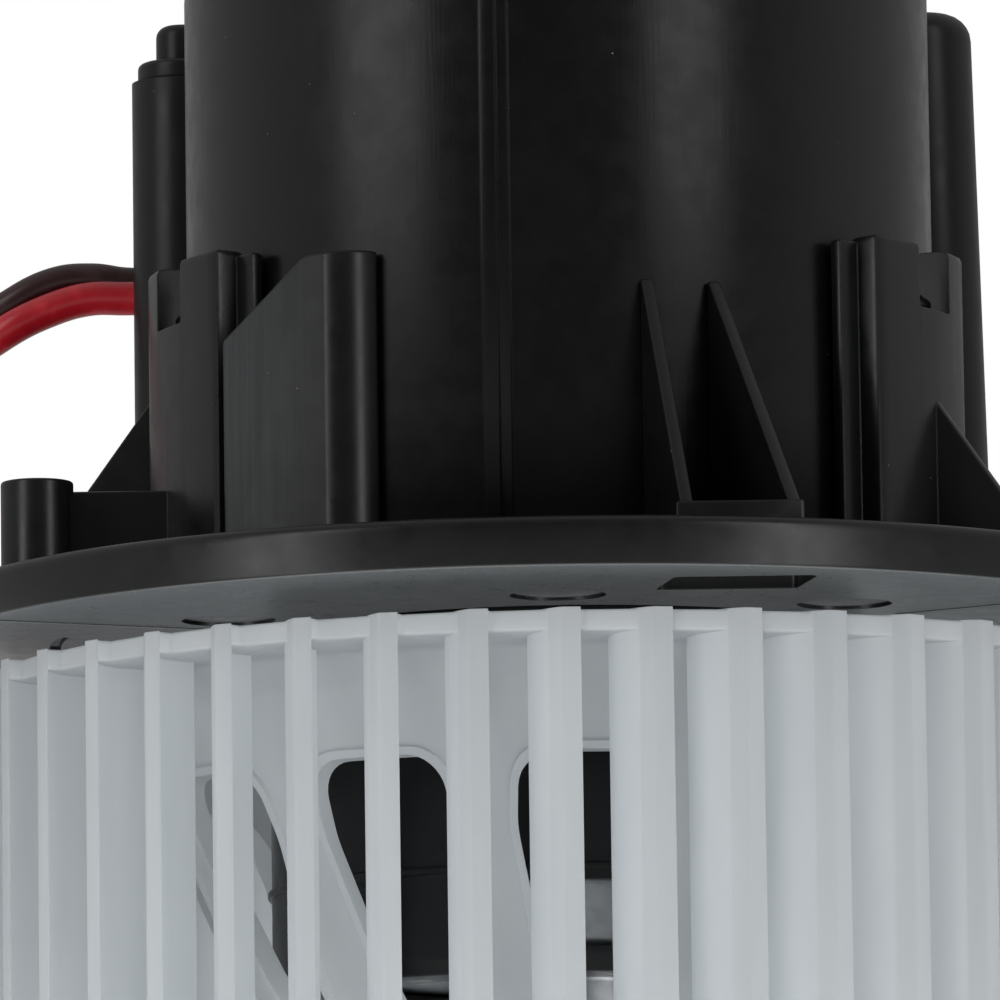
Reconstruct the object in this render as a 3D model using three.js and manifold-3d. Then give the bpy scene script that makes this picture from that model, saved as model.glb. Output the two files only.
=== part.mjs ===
// Blower motor and wheel of a car heater: a brushed motor in a plastic flange, with a squirrel-cage wheel.
// Millimetres. The Z axis is the shaft and +Z points to the motor cover. The pieces are drawn with z = 0 on
// the seating face of the flange; the finished assembly is raised so that its origin is the middle of the
// shaft's lower end face. Azimuths are degrees about +Z, counted from the front (-Y) towards +X.
import * as THREE from 'three';
import { mergeVertices } from 'three/addons/utils/BufferGeometryUtils.js';
import Module from 'manifold-3d';

const wasm = await Module();
wasm.setup();

// ---------- driving dimensions ----------
const WHEEL_RADIUS = 75;
const WHEEL_HEIGHT = 71.7;
const BLADE_COUNT = 43;
const WHEEL_GAP = 4.3; // from the seating face down to the wheel

const FLANGE_RADIUS = 80;
const RIM_HEIGHT = 6.1;
const RIM_WALL = 3.4;
const PLATE = 3; // thickness of the flange plate
const OPENING_RADIUS = 40.5;
const TURN = -3.2; // azimuth of the flange's plane of symmetry

const COVER_RADIUS = 47;
const COVER_TOP = 87;
const WALL = 2.2; // moulded wall of the cover and the duct
const CLEARANCE = 0.3;

const YOKE_RADIUS = 33;
const YOKE_BOTTOM = -42;
const YOKE_TOP = 50;
const YOKE_WALL = 2;
const SHAFT_RADIUS = 4;
const SHAFT_BOTTOM = -69;
const SHAFT_TOP = 62;

const FINE = 64; // segments of a large turned part
const MEDIUM = 32;
const COARSE = 16;
const RUNNING = 24; // segments of the shaft and of what it runs in

// ---------- helpers: solids ----------
function toSolid(geometry) {
  const bare = geometry.clone();
  bare.deleteAttribute('normal');
  bare.deleteAttribute('uv');
  const merged = mergeVertices(bare, 1e-4);
  const corners = merged.index.array;
  const kept = [];
  for (let i = 0; i < corners.length; i += 3) {
    const [a, b, c] = [corners[i], corners[i + 1], corners[i + 2]];
    if (a !== b && b !== c && c !== a) kept.push(a, b, c);
  }
  return new wasm.Manifold(new wasm.Mesh({
    numProp: 3,
    vertProperties: new Float32Array(merged.attributes.position.array),
    triVerts: new Uint32Array(kept),
  }));
}

function toGeometry(body) {
  const mesh = body.getMesh();
  const geometry = new THREE.BufferGeometry();
  geometry.setAttribute('position', new THREE.BufferAttribute(mesh.vertProperties, 3));
  geometry.setIndex(new THREE.BufferAttribute(mesh.triVerts, 1));
  geometry.computeVertexNormals();
  return geometry;
}

const join = (...bodies) => bodies.flat().reduce((whole, body) => whole.add(body));
const cut = (body, ...tools) => tools.flat().reduce((left, tool) => left.subtract(tool), body);

// ---------- helpers: shapes ----------
const radians = THREE.MathUtils.degToRad;

function atAzimuth(radius, azimuth) {
  return new THREE.Vector2(radius * Math.sin(radians(azimuth)), -radius * Math.cos(radians(azimuth)));
}

// A profile of [radius, z] pairs, turned about the Z axis.
function turned(profile, segments = MEDIUM) {
  const points = profile.map(([radius, z]) => new THREE.Vector2(radius, z));
  if (THREE.ShapeUtils.area(points) < 0) points.reverse();
  return toSolid(new THREE.LatheGeometry([...points, points[0]], segments).rotateX(Math.PI / 2));
}

function ring(inner, outer, bottom, top, segments = MEDIUM) {
  return turned([[inner, bottom], [outer, bottom], [outer, top], [inner, top]], segments);
}

function rod(radius, bottom, top, segments = COARSE) {
  return turned([[0, bottom], [radius, bottom], [radius, top], [0, top]], segments);
}

function prism(shape, bottom, top, curveSegments = 12) {
  const options = { depth: top - bottom, bevelEnabled: false, curveSegments };
  return toSolid(new THREE.ExtrudeGeometry(shape, options).translate(0, 0, bottom));
}

function outline(points) {
  return new THREE.Shape(points.map(([x, y]) => new THREE.Vector2(x, y)));
}

// A curved wall that follows a circle about the Z axis, from one azimuth to another.
function arcWall(inner, outer, from, to, bottom, top) {
  const shape = new THREE.Shape();
  const [start, end] = [radians(from - 90), radians(to - 90)];
  shape.absarc(0, 0, outer, start, end, false);
  shape.absarc(0, 0, inner, end, start, true);
  return prism(shape, bottom, top, Math.max(2, Math.round((to - from) / 8)));
}

function block(from, to) {
  const size = to.map((value, axis) => value - from[axis]);
  const middle = to.map((value, axis) => (value + from[axis]) / 2);
  return toSolid(new THREE.BoxGeometry(...size).translate(...middle));
}

// A flat board that stands on a radius. Its outline is in [radius, z].
function radialBoard(points, azimuth, thickness) {
  const options = { depth: thickness, bevelEnabled: false };
  const board = new THREE.ExtrudeGeometry(outline(points), options).translate(0, 0, -thickness / 2);
  return toSolid(board.rotateX(Math.PI / 2).rotateZ(radians(azimuth - 90)));
}

// The same, for a body built around the front radius.
function turnedTo(azimuth, body) {
  return body.rotate([0, 0, azimuth]);
}

function post(radius, place, bottom, top, segments = 12) {
  return rod(radius, bottom, top, segments).translate([place.x, place.y, 0]);
}

// ---------- materials ----------
function finish(colour, roughness, metalness = 0) {
  return new THREE.MeshStandardMaterial({ color: colour, roughness, metalness });
}

const blackPlastic = finish(0x1d2022, 0.5);
const wheelPlastic = finish(0xc3c9cc, 0.4);
const cardPlastic = finish(0x2b2a28, 0.6);
const rubber = finish(0x161616, 0.85);
const yokeSteel = finish(0x6d6f70, 0.4, 0.9);
const brightSteel = finish(0xb8bbbd, 0.25, 1);
const laminations = finish(0x55585a, 0.5, 0.9);
const ferrite = finish(0x3a3b3d, 0.7);
const copper = finish(0xb4653a, 0.35, 0.9);
const brass = finish(0xb9964c, 0.35, 0.9);
const bronze = finish(0x8c6a3e, 0.55, 0.8);
const carbon = finish(0x26272a, 0.6, 0.2);
const redSheath = finish(0x96141e, 0.4);
const darkSheath = finish(0x2a0d0f, 0.45);

// ---------- mounting flange ----------
const TOWER_TOP = 46;
const TOWER_INNER = 48.2;
// Each side has a front tower and, behind it, a thinner one. Azimuths are from the plane of symmetry.
const FRONT_TOWER = { start: 50.4, end: 76, outer: 52.6, hook: 64.9 };
const BACK_TOWER = { start: 88, end: 118, outer: 50.2, hook: 104 };
const LIP = { start: 46.7, inner: 47.8, outer: 49.6, top: 45.4 };
const SLOT_HALF_ANGLE = 4.6;
const SLOT_BOTTOM = 38;

// The azimuths between which a part lies on one side (1 right, -1 left), in rising order.
function mirrored(side, start, end) {
  return [TURN + side * start, TURN + side * end].sort((a, b) => a - b);
}

function tower(side, { start, end, outer, hook }) {
  const wall = arcWall(TOWER_INNER, outer, ...mirrored(side, start, end), PLATE - 1, TOWER_TOP);
  const slotEnds = mirrored(side, hook - SLOT_HALF_ANGLE, hook + SLOT_HALF_ANGLE);
  return cut(wall, arcWall(COVER_RADIUS, outer + 2, ...slotEnds, SLOT_BOTTOM, TOWER_TOP + 1));
}

function towers() {
  return [-1, 1].flatMap((side) => [
    tower(side, FRONT_TOWER),
    tower(side, BACK_TOWER),
    arcWall(LIP.inner, LIP.outer, ...mirrored(side, LIP.start, FRONT_TOWER.start + 1), PLATE - 1, LIP.top),
  ]);
}

const SHIELD = { left: -17.8, right: 1.7, front: 52.4, wall: 1.8, roll: 5.5, top: 43.6 };

// A flat screen in front of the cover. Its upper left corner is cut off and its right side rolls back.
function shield() {
  const { left, right, front, wall, roll, top } = SHIELD;
  const back = COVER_RADIUS + 2 * CLEARANCE;
  const plan = new THREE.Shape();
  plan.moveTo(left, -front + wall);
  plan.lineTo(left, -front);
  const end = back - front + roll; // how far the roll's end lies in front of its centre
  const turn = Math.asin(end / roll);
  const innerTurn = Math.asin(end / (roll - wall));
  const centre = new THREE.Vector2(right - roll * Math.cos(turn), roll - front);
  plan.absarc(centre.x, centre.y, roll, -Math.PI / 2, -turn, false);
  plan.absarc(centre.x, centre.y, roll - wall, -innerTurn, -Math.PI / 2, true);
  const face = outline([
    [left - 1, 0], [right + 1, 0], [right + 1, top],
    [-6.1, top - 0.4], [left, top - 10], [left - 1, top - 11],
  ]);
  const keep = new THREE.ExtrudeGeometry(face, { depth: 10, bevelEnabled: false });
  const window = toSolid(keep.rotateX(Math.PI / 2).translate(0, 5 - back, 0));
  return turnedTo(-30, prism(plan, PLATE - 1, top + 5, 6).intersect(window));
}

const FIN_FRONT = 65; // distance of the fins' feet in front of the axis
const FIN_WALL = 1.6;

function supportFins() {
  const fins = [12.5, 22.8].map((azimuth) => {
    const foot = FIN_FRONT / Math.cos(radians(azimuth));
    const root = COVER_RADIUS + CLEARANCE;
    return radialBoard([[root, 1], [foot, 1], [foot, 9], [root + 0.6, 39], [root, 39]], azimuth, FIN_WALL);
  });
  const foot = block([13, -FIN_FRONT - 1, PLATE - 1], [28.3, -FIN_FRONT + 0.6, 9.3]);
  const gussets = [
    { azimuth: 61.9, root: 51, top: 28.8, reach: 67.4, toe: 6 },
    { azimuth: -92, root: 49.2, top: 35.3, reach: 68.4, toe: 8.6 },
  ].map(({ azimuth, root, top, reach, toe }) => (
    radialBoard([[root, 1], [reach, 1], [reach, toe], [root, top]], azimuth, FIN_WALL)
  ));
  return join(fins, foot, gussets);
}

const BOSS_AZIMUTHS = [-71.2, 108.8, 171];
const BOSS_PLACE = 68.7;
const BOSS_RADIUS = 4.5;
const BOSS_TOP = 18.5;
const WEB = { near: 3, far: 5, top: 17.7, end: 46 }; // near and far are distances behind the post's axis

// A post for a tapping screw. Those beside the towers are tied to them by a web along X.
function screwBoss(azimuth) {
  const place = atAzimuth(BOSS_PLACE, azimuth);
  const body = [post(BOSS_RADIUS, place, 1, BOSS_TOP, COARSE)];
  if (Math.abs(place.x) > WEB.end) {
    const [sideX, sideY] = [Math.sign(place.x), Math.sign(place.y)];
    const corners = [[place.x, WEB.near], [sideX * WEB.end, WEB.far]];
    const [first, last] = corners.map(([x, reach]) => [x, place.y - sideY * reach]);
    const [xs, ys] = [0, 1].map((axis) => [first[axis], last[axis]].sort((a, b) => a - b));
    body.push(block([xs[0], ys[0], 1], [xs[1], ys[1], WEB.top]));
  }
  return cut(join(body), post(1.4, place, 8, BOSS_TOP + 1, 12));
}

const LUG_AZIMUTHS = [-100, 100, 180];
const LUG_PLACE = 87;
const LUG_TOP = 4;
const LUG_HALF_WIDTH = 8;

function lug(azimuth) {
  const tab = block([-LUG_HALF_WIDTH, -LUG_PLACE, 0], [LUG_HALF_WIDTH, -FLANGE_RADIUS + 3, LUG_TOP]);
  const end = post(LUG_HALF_WIDTH, new THREE.Vector2(0, -LUG_PLACE), 0, LUG_TOP, COARSE);
  const hole = post(2.75, new THREE.Vector2(0, -LUG_PLACE), -1, LUG_TOP + 1);
  return turnedTo(azimuth, cut(join(tab, end), hole));
}

// Places on the flange that the duct needs: its two air inlets and its two screws.
const DUCT_INLETS = [-38, 38].map((x) => new THREE.Vector2(x, 46));
const DUCT_SCREWS = [-48.5, 48.5].map((x) => new THREE.Vector2(x, 34.5));
const SCREW_HEAD_RADIUS = 3.4;
const SCREW_RADIUS = 1.5;

// Recesses and holes from below: three shallow rounds, one skewed pocket, the duct's inlets and screw holes.
function underside() {
  const rounds = [-54, -1.2, 41.5].map((azimuth) => post(5.8, atAzimuth(51, azimuth), -1, 0.6));
  const pocket = prism(outline([[12.7, -67], [29.8, -67], [27.5, -54.4], [10.5, -54.4]]), -1, 2);
  const inlets = DUCT_INLETS.map((place) => post(6, place, -1, PLATE + 1));
  const screwHoles = DUCT_SCREWS.map((place) => join(
    post(SCREW_HEAD_RADIUS + CLEARANCE, place, -1, 1.7),
    post(SCREW_RADIUS + CLEARANCE, place, -1, PLATE + 1),
  ));
  return [rounds, pocket, inlets, screwHoles].flat();
}

function mountingFlange() {
  const plate = turned([
    [OPENING_RADIUS, 0], [FLANGE_RADIUS, 0], [FLANGE_RADIUS, RIM_HEIGHT],
    [FLANGE_RADIUS - RIM_WALL, RIM_HEIGHT], [FLANGE_RADIUS - RIM_WALL, PLATE], [OPENING_RADIUS, PLATE],
  ], FINE);
  const spigot = ring(42.8, 44.4, PLATE - 1, 9, MEDIUM);
  const uprights = [...towers(), shield(), supportFins(), ...BOSS_AZIMUTHS.map(screwBoss)];
  return cut(join(plate, spigot, uprights, LUG_AZIMUTHS.map(lug)), underside());
}

// ---------- motor cover ----------
const HOOK_BOTTOM = SLOT_BOTTOM + 2 * CLEARANCE;
const HOOK_TOP = 43;
const AIR_WINDOW = { half: 13, bottom: 57, top: 73 };

// A wedge that swells outwards towards its lower edge and drops into the slot of a tower.
function snapHook(azimuth, nose) {
  const root = COVER_RADIUS - 1;
  const side = [[root, HOOK_BOTTOM], [nose, HOOK_BOTTOM], [nose, 39.5], [root, HOOK_TOP]];
  return radialBoard(side, azimuth, 6);
}

function airWindow() {
  return block([-AIR_WINDOW.half, 40, AIR_WINDOW.bottom], [AIR_WINDOW.half, 52, AIR_WINDOW.top]);
}

function motorCover() {
  const edge = 5; // radius of the rounded top edge
  const bottom = PLATE + CLEARANCE;
  const outer = [];
  for (let step = 0; step <= 4; step += 1) {
    const angle = radians(90 * step / 4);
    outer.push([COVER_RADIUS - edge + edge * Math.cos(angle), COVER_TOP - edge + edge * Math.sin(angle)]);
  }
  const inner = COVER_RADIUS - WALL;
  const shell = turned([
    [inner, bottom], [COVER_RADIUS, bottom], ...outer, [0, COVER_TOP],
    [0, COVER_TOP - WALL], [inner - 3, COVER_TOP - WALL], [inner, COVER_TOP - edge],
  ], 48);
  const [root, top] = [inner + 1, COVER_TOP - edge];
  const upright = (proud, azimuth, width) => {
    const face = COVER_RADIUS + proud;
    return radialBoard([[root, bottom], [face, bottom], [face, top], [root, top]], azimuth, width);
  };
  const rib = join(upright(0.7, -10.6, 2.1), upright(0.25, -8.7, 1.8));
  const hooks = [-1, 1].flatMap((side) => [
    snapHook(TURN + side * FRONT_TOWER.hook, FRONT_TOWER.outer - 2),
    snapHook(TURN + side * BACK_TOWER.hook, BACK_TOWER.outer - 0.6),
  ]);
  return cut(join(shell, rib, hooks), airWindow());
}

// ---------- cooling duct behind the cover ----------
const DUCT = {
  left: -55.1, right: 55.95, front: 29, back: 57.5, frontCorner: 6.5, backCorner: 9,
  bottom: PLATE + CLEARANCE, seam: 78.4, top: 86,
};
const LID_END = -3; // the lid covers the duct's left part, up to here
const GROMMET = { y: 43.1, z: 52.35, halfWidth: 5.6, halfHeight: 6 };

function ductPlan(inset) {
  const shape = new THREE.Shape();
  const [left, right] = [DUCT.left + inset, DUCT.right - inset];
  const [front, back] = [DUCT.front + inset, DUCT.back - inset];
  const blunt = Math.max(0.5, DUCT.frontCorner - inset);
  const corner = DUCT.backCorner - inset;
  shape.absarc(left + blunt, front + blunt, blunt, Math.PI, 1.5 * Math.PI, false);
  shape.absarc(right - blunt, front + blunt, blunt, -Math.PI / 2, 0, false);
  shape.absarc(right - corner, back - corner, corner, 0, Math.PI / 2, false);
  shape.absarc(left + corner, back - corner, corner, Math.PI / 2, Math.PI, false);
  return shape;
}

// An upright of the duct's plan, kept clear of the cover. Its right side leans in a little towards the top.
function ductPrism(inset, bottom, top) {
  const options = { depth: top - bottom, bevelEnabled: false, curveSegments: 3 };
  const geometry = new THREE.ExtrudeGeometry(ductPlan(inset), options).translate(0, 0, bottom);
  const places = geometry.attributes.position;
  const draft = 0.00018; // share of the width lost per millimetre of height
  for (let i = 0; i < places.count; i += 1) {
    const reach = places.getX(i) - DUCT.left;
    places.setX(i, DUCT.left + reach * (1 - draft * (places.getZ(i) - DUCT.bottom)));
  }
  const cover = rod(COVER_RADIUS + 2 * CLEARANCE + inset, bottom - 1, top + 1, 48);
  return cut(toSolid(geometry), cover);
}

function grommetPlan(margin) {
  const shape = new THREE.Shape();
  const { halfWidth, halfHeight } = GROMMET;
  const radius = halfWidth + margin;
  shape.absarc(0, halfHeight - halfWidth, radius, 0, Math.PI, false);
  shape.absarc(0, halfWidth - halfHeight, radius, Math.PI, 2 * Math.PI, false);
  return shape;
}

// The oval of the wire entry, run along X through the duct's side wall.
function grommetPrism(margin, from, to) {
  const options = { depth: to - from, bevelEnabled: false, curveSegments: 4 };
  const geometry = new THREE.ExtrudeGeometry(grommetPlan(margin), options);
  return toSolid(geometry.rotateX(Math.PI / 2).rotateZ(Math.PI / 2).translate(from, GROMMET.y, GROMMET.z));
}

// Keeps what lies to one side of the lid's inner end, above the seam: -1 is the lid's side.
function besideLidEnd(body, side, gap) {
  const plane = LID_END + side * gap;
  const [from, to] = side < 0 ? [plane, DUCT.right + 1] : [DUCT.left - 1, plane];
  return cut(body, block([from, DUCT.front - 1, DUCT.seam], [to, DUCT.back + 1, DUCT.top + 1]));
}

function coolingDuct() {
  const shell = besideLidEnd(ductPrism(0, DUCT.bottom, DUCT.top), 1, 0);
  const cavity = besideLidEnd(ductPrism(WALL, DUCT.bottom - 1, DUCT.top - WALL), 1, WALL);
  const mouth = cut(
    ductPrism(WALL, DUCT.seam - 1, DUCT.seam + 1),
    block([LID_END, DUCT.front, DUCT.seam - 2], [DUCT.right, DUCT.back, DUCT.seam + 2]),
  );
  const posts = DUCT_SCREWS.map((place) => post(3.6, place, DUCT.bottom, 20));
  const threads = DUCT_SCREWS.map((place) => post(SCREW_RADIUS + 0.1, place, DUCT.bottom - 1, 17));
  const entry = grommetPrism(0, DUCT.left - 1, DUCT.left + WALL + 1);
  return cut(join(cut(shell, cavity, mouth), posts), threads, airWindow(), entry);
}

function ductLid() {
  const bottom = DUCT.seam + 0.2;
  const shoulder = 81;
  const low = ductPrism(0.8, bottom, shoulder);
  const high = ductPrism(3.2, bottom, DUCT.top);
  const cavity = ductPrism(3.2 + WALL, bottom - 1, DUCT.top - WALL);
  const solid = besideLidEnd(join(low, high), -1, CLEARANCE);
  return cut(solid, besideLidEnd(cavity, -1, CLEARANCE + WALL));
}

function wireGrommet() {
  const innerFace = DUCT.left + WALL;
  const plug = grommetPrism(-0.15, DUCT.left + 0.1, innerFace + 1.2);
  const flange = grommetPrism(0.9, innerFace + 0.2, innerFace + 1.2);
  return cut(join(plug, flange), WIRE_ENTRIES.map(([y, z]) => wirePassage(y, z)));
}

function ductScrew() {
  return turned([
    [0, 0.1], [SCREW_HEAD_RADIUS, 0.1], [SCREW_HEAD_RADIUS, 1.4], [SCREW_RADIUS, 1.4], [SCREW_RADIUS, 14],
    [0, 15.5],
  ], 16);
}

// ---------- motor cradle and its rubber ----------
const CRADLE = { inner: 35.3, outer: 37.1, bottom: -44, floor: -42.4, lip: 4.7, top: 7.1 };
const CRADLE_WINDOW = { azimuth: 3, half: 12, bottom: -41, top: -33 };
const THIRDS = [0, 120, 240];

function motorCradle() {
  const cup = turned([
    [26, CRADLE.bottom], [CRADLE.outer, CRADLE.bottom], [CRADLE.outer, CRADLE.lip], [42, CRADLE.lip],
    [42, CRADLE.top], [CRADLE.inner, CRADLE.top], [CRADLE.inner, CRADLE.floor], [26, CRADLE.floor],
  ], 36);
  const { azimuth, half, bottom, top } = CRADLE_WINDOW;
  const windows = THIRDS.map((third) => (
    arcWall(34, 40, azimuth - half + third, azimuth + half + third, bottom, top)
  ));
  return cut(cup, windows);
}

const isolatorRing = () => ring(38, 42.2, PLATE + 0.1, CRADLE.lip - 0.1);
const rubberPad = () => arcWall(YOKE_RADIUS + 0.15, CRADLE.inner - 0.15, -14, 14, -20, 0);

// A spring clip that hooks over the wall of the cradle, in one of its windows.
function yokeClip() {
  const outerLeg = block([-1, -38.1, -40.5], [1, -37.5, -34.5]);
  const hook = block([-1, -38.1, -35.1], [1, -33.3, -34.5]);
  return join(outerLeg, hook);
}

// ---------- motor ----------
function motorYoke() {
  const nose = YOKE_BOTTOM - 8;
  return turned([
    [7.2, nose], [9, nose], [9, YOKE_BOTTOM], [YOKE_RADIUS - 1.5, YOKE_BOTTOM],
    [YOKE_RADIUS, YOKE_BOTTOM + 1.5], [YOKE_RADIUS, YOKE_TOP], [YOKE_RADIUS - YOKE_WALL, YOKE_TOP],
    [YOKE_RADIUS - YOKE_WALL, YOKE_BOTTOM + YOKE_WALL], [7.2, YOKE_BOTTOM + YOKE_WALL],
  ]);
}

const MAGNET_INNER = 26.6;
const fieldMagnet = () => arcWall(MAGNET_INNER, YOKE_RADIUS - YOKE_WALL - 0.15, -60, 60, -30, 16);

const TOOTH_COUNT = 12;
const CORE = { radius: MAGNET_INNER - 0.7, bottom: -22.5, top: 12.5, hub: 10, bore: SHAFT_RADIUS + 0.15 };

function armatureSlot(index, margin) {
  const slot = new THREE.Shape();
  const [inner, outer, narrow, wide] = [13, 21, 1.5, 3.4];
  slot.moveTo(inner + margin, -narrow + margin);
  slot.lineTo(outer - margin, -wide + margin);
  slot.lineTo(outer - margin, wide - margin);
  slot.lineTo(inner + margin, narrow - margin);
  return (bottom, top) => turnedTo(index * 360 / TOOTH_COUNT, prism(slot, bottom, top));
}

const slotIndices = Array.from({ length: TOOTH_COUNT }, (_, index) => index);

function armatureCore() {
  const stack = ring(CORE.bore, CORE.radius, CORE.bottom, CORE.top);
  const slots = slotIndices.map((index) => join(
    armatureSlot(index, 0)(CORE.bottom - 1, CORE.top + 1),
    turnedTo(index * 360 / TOOTH_COUNT, block([20, -0.9, CORE.bottom - 1], [27, 0.9, CORE.top + 1])),
  ));
  return cut(stack, slots);
}

// Two end bundles of wire, joined by the coil sides that lie in the slots.
function armatureWinding() {
  const bundle = (near, far) => turned([
    [11, near], [22.5, near], [23.5, (near + far) / 2], [21, far], [12, far],
  ], 24);
  const sides = slotIndices.map((index) => armatureSlot(index, 0.3)(CORE.bottom - 1, CORE.top + 1));
  return join(bundle(CORE.bottom - 0.4, CORE.bottom - 9), bundle(CORE.top + 0.4, CORE.top + 9), sides);
}

const COMMUTATOR = { radius: 11, bottom: 25, top: 41 };

function commutator() {
  const drum = ring(CORE.bore, COMMUTATOR.radius, COMMUTATOR.bottom, COMMUTATOR.top, 24);
  const risers = ring(CORE.bore, COMMUTATOR.radius + 1.6, COMMUTATOR.bottom, COMMUTATOR.bottom + 2.4, 24);
  const grooves = slotIndices.map((index) => turnedTo(
    (index + 0.5) * 360 / TOOTH_COUNT,
    block([9.6, -0.3, COMMUTATOR.bottom - 1], [14, 0.3, COMMUTATOR.top + 1]),
  ));
  return cut(join(drum, risers), grooves);
}

const motorShaft = () => turned([
  [0, SHAFT_BOTTOM], [SHAFT_RADIUS - 0.6, SHAFT_BOTTOM], [SHAFT_RADIUS, SHAFT_BOTTOM + 0.6],
  [SHAFT_RADIUS, SHAFT_TOP - 0.6], [SHAFT_RADIUS - 0.6, SHAFT_TOP], [0, SHAFT_TOP],
], RUNNING);

// A self-aligning sintered bush: a barrel with a running bore.
function bearing(bottom) {
  const bore = SHAFT_RADIUS + 0.05;
  return turned([
    [bore, bottom], [5.6, bottom], [7, bottom + 1.8],
    [7, bottom + 4.2], [5.6, bottom + 6], [bore, bottom + 6],
  ], RUNNING);
}

const bearingRetainer = (bottom) => ring(5, 7.05, bottom, bottom + 0.6, COARSE);
const thrustWasher = (bottom) => ring(SHAFT_RADIUS + 0.12, 6.8, bottom, bottom + 0.7, RUNNING);

function endPlate() {
  const [bottom, top] = [YOKE_TOP + 0.1, YOKE_TOP + 2.6];
  const plate = turned([
    [5, bottom], [YOKE_RADIUS, bottom], [YOKE_RADIUS, top], [9, top],
    [9, 60], [7.2, 60], [7.2, top], [5, top],
  ]);
  const slot = block([-3.6, -1, bottom - 1], [3.6, 1, top + 1]);
  return cut(plate, TERMINALS.map(([x, y]) => slot.translate([x, y, 0])));
}

// ---------- brush gear ----------
const CARD = { bottom: 42, top: 44.4 };
const TERMINALS = [[-8, 18], [8, 18]];
const BRUSH = { halfWidth: 3.5, bottom: 34.8, top: 40.8, start: COMMUTATOR.radius + 0.15, end: 21 };

const brushCard = () => ring(12.6, YOKE_RADIUS - YOKE_WALL - 0.3, CARD.bottom, CARD.top);

function brushHolder() {
  const { halfWidth, bottom, top, end } = BRUSH;
  const wall = 0.8;
  const gap = 0.15;
  const shell = block(
    [-halfWidth - wall - gap, -end - 7, bottom - wall - gap],
    [halfWidth + wall + gap, -13, top + wall + gap],
  );
  const channel = block([-halfWidth - gap, -end - 6.2, bottom - gap], [halfWidth + gap, -12, top + gap]);
  return cut(shell, channel);
}

function carbonBrush() {
  const { halfWidth, bottom, top, start, end } = BRUSH;
  return cut(
    block([-halfWidth, -end, bottom], [halfWidth, -start + 0.6, top]),
    rod(start, bottom - 1, top + 1, 24),
  );
}

function brushSpring() {
  const coil = new THREE.Curve();
  const [turns, radius, length] = [3.5, 2.2, 5];
  const middle = (BRUSH.bottom + BRUSH.top) / 2;
  coil.getPoint = (t) => new THREE.Vector3(
    radius * Math.cos(2 * Math.PI * turns * t),
    -BRUSH.end - 0.6 - (length - 0.6) * t,
    middle + radius * Math.sin(2 * Math.PI * turns * t),
  );
  const wire = new THREE.Shape().absarc(0, 0, 0.3, 0, 2 * Math.PI);
  const options = { extrudePath: coil, steps: 32, curveSegments: 2, bevelEnabled: false };
  return toSolid(new THREE.ExtrudeGeometry(wire, options));
}

function suppressionChoke() {
  const profile = [[0, -7], [1.6, -7], [1.6, -5.5]];
  for (let turn = 0; turn < 4; turn += 1) {
    const start = -5.5 + turn * 2.8;
    profile.push([2.5, start + 0.5], [2.5, start + 2], [2, start + 2.7]);
  }
  profile.push([1.6, 5.8], [1.6, 7], [0, 7]);
  return turned(profile, 8).rotate([90, 0, 0]);
}

const terminal = () => block([-3.1, -0.4, CARD.top + 0.2], [3.1, 0.4, 61]);

// ---------- blower wheel ----------
const WHEEL_TOP = -WHEEL_GAP;
const WHEEL_BOTTOM = WHEEL_TOP - WHEEL_HEIGHT;
const FIRST_BLADE = -49; // azimuth of one blade tip
const RING_OUTER = 69;
const RING_THICKNESS = 2.8;
const HUB_RADIUS = 11;

// Plan of the blade whose tip is at the front: two arcs about one centre. They start at the wheel's edge.
function bladePlan() {
  const centre = new THREE.Vector2(4.22, -66.75);
  const [convex, concave] = [10.57, 9.1];
  const [convexTip, concaveTip, root] = [-129.6, -117.1, -199].map(radians);
  const shape = new THREE.Shape();
  shape.absarc(centre.x, centre.y, convex, convexTip, root, true);
  shape.absarc(centre.x, centre.y, concave, root, concaveTip, false);
  return shape;
}

function blade(index) {
  const body = prism(bladePlan(), WHEEL_BOTTOM + 0.2, WHEEL_TOP - 0.2, 2);
  return turnedTo(FIRST_BLADE + index * 360 / BLADE_COUNT, body);
}

// The bell between the back ring and the hub, outer surface first.
function bell() {
  const under = WHEEL_TOP - RING_THICKNESS;
  const wall = 2;
  const outer = [[RING_OUTER, WHEEL_TOP], [RING_OUTER, under], [59.5, under], [56, -9.8], [40.5, -43.5],
    [35.5, -51], [27, -57], [HUB_RADIUS, -60.5], [HUB_RADIUS, -66]];
  const inner = [[6.5, -66], [6.5, -53.2], [HUB_RADIUS, -53.2], [HUB_RADIUS, -60.5 + wall],
    [26, -57 + wall], [34, -51 + wall], [40.5 - wall, -43.5 + 1], [56 - wall, -9.8 + 1], [58.5, WHEEL_TOP]];
  return turned([...outer, ...inner], BLADE_COUNT);
}

const WINDOW_COUNT = 12;
const FIRST_WINDOW = 3.3; // azimuth of one cooling window
const WINDOW = { top: -19.6, widest: -24.5, bottom: -52, halfAngle: 9.8, lowHalf: 3.4 };

// A petal-shaped opening in the bell: wide and round at the top, narrow towards the hub.
function coolingWindow(index) {
  const half = 49.5 * Math.sin(radians(WINDOW.halfAngle));
  const shape = new THREE.Shape();
  shape.moveTo(-half, WINDOW.widest);
  shape.quadraticCurveTo(-half, WINDOW.top, -half * 0.3, WINDOW.top);
  shape.lineTo(half * 0.3, WINDOW.top);
  shape.quadraticCurveTo(half, WINDOW.top, half, WINDOW.widest);
  shape.lineTo(WINDOW.lowHalf, WINDOW.bottom);
  shape.lineTo(-WINDOW.lowHalf, WINDOW.bottom);
  const options = { depth: 40, bevelEnabled: false, curveSegments: 3 };
  const geometry = new THREE.ExtrudeGeometry(shape, options).rotateX(Math.PI / 2).translate(0, -24, 0);
  return toSolid(geometry.rotateZ(radians(FIRST_WINDOW + index * 360 / WINDOW_COUNT)));
}

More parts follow.
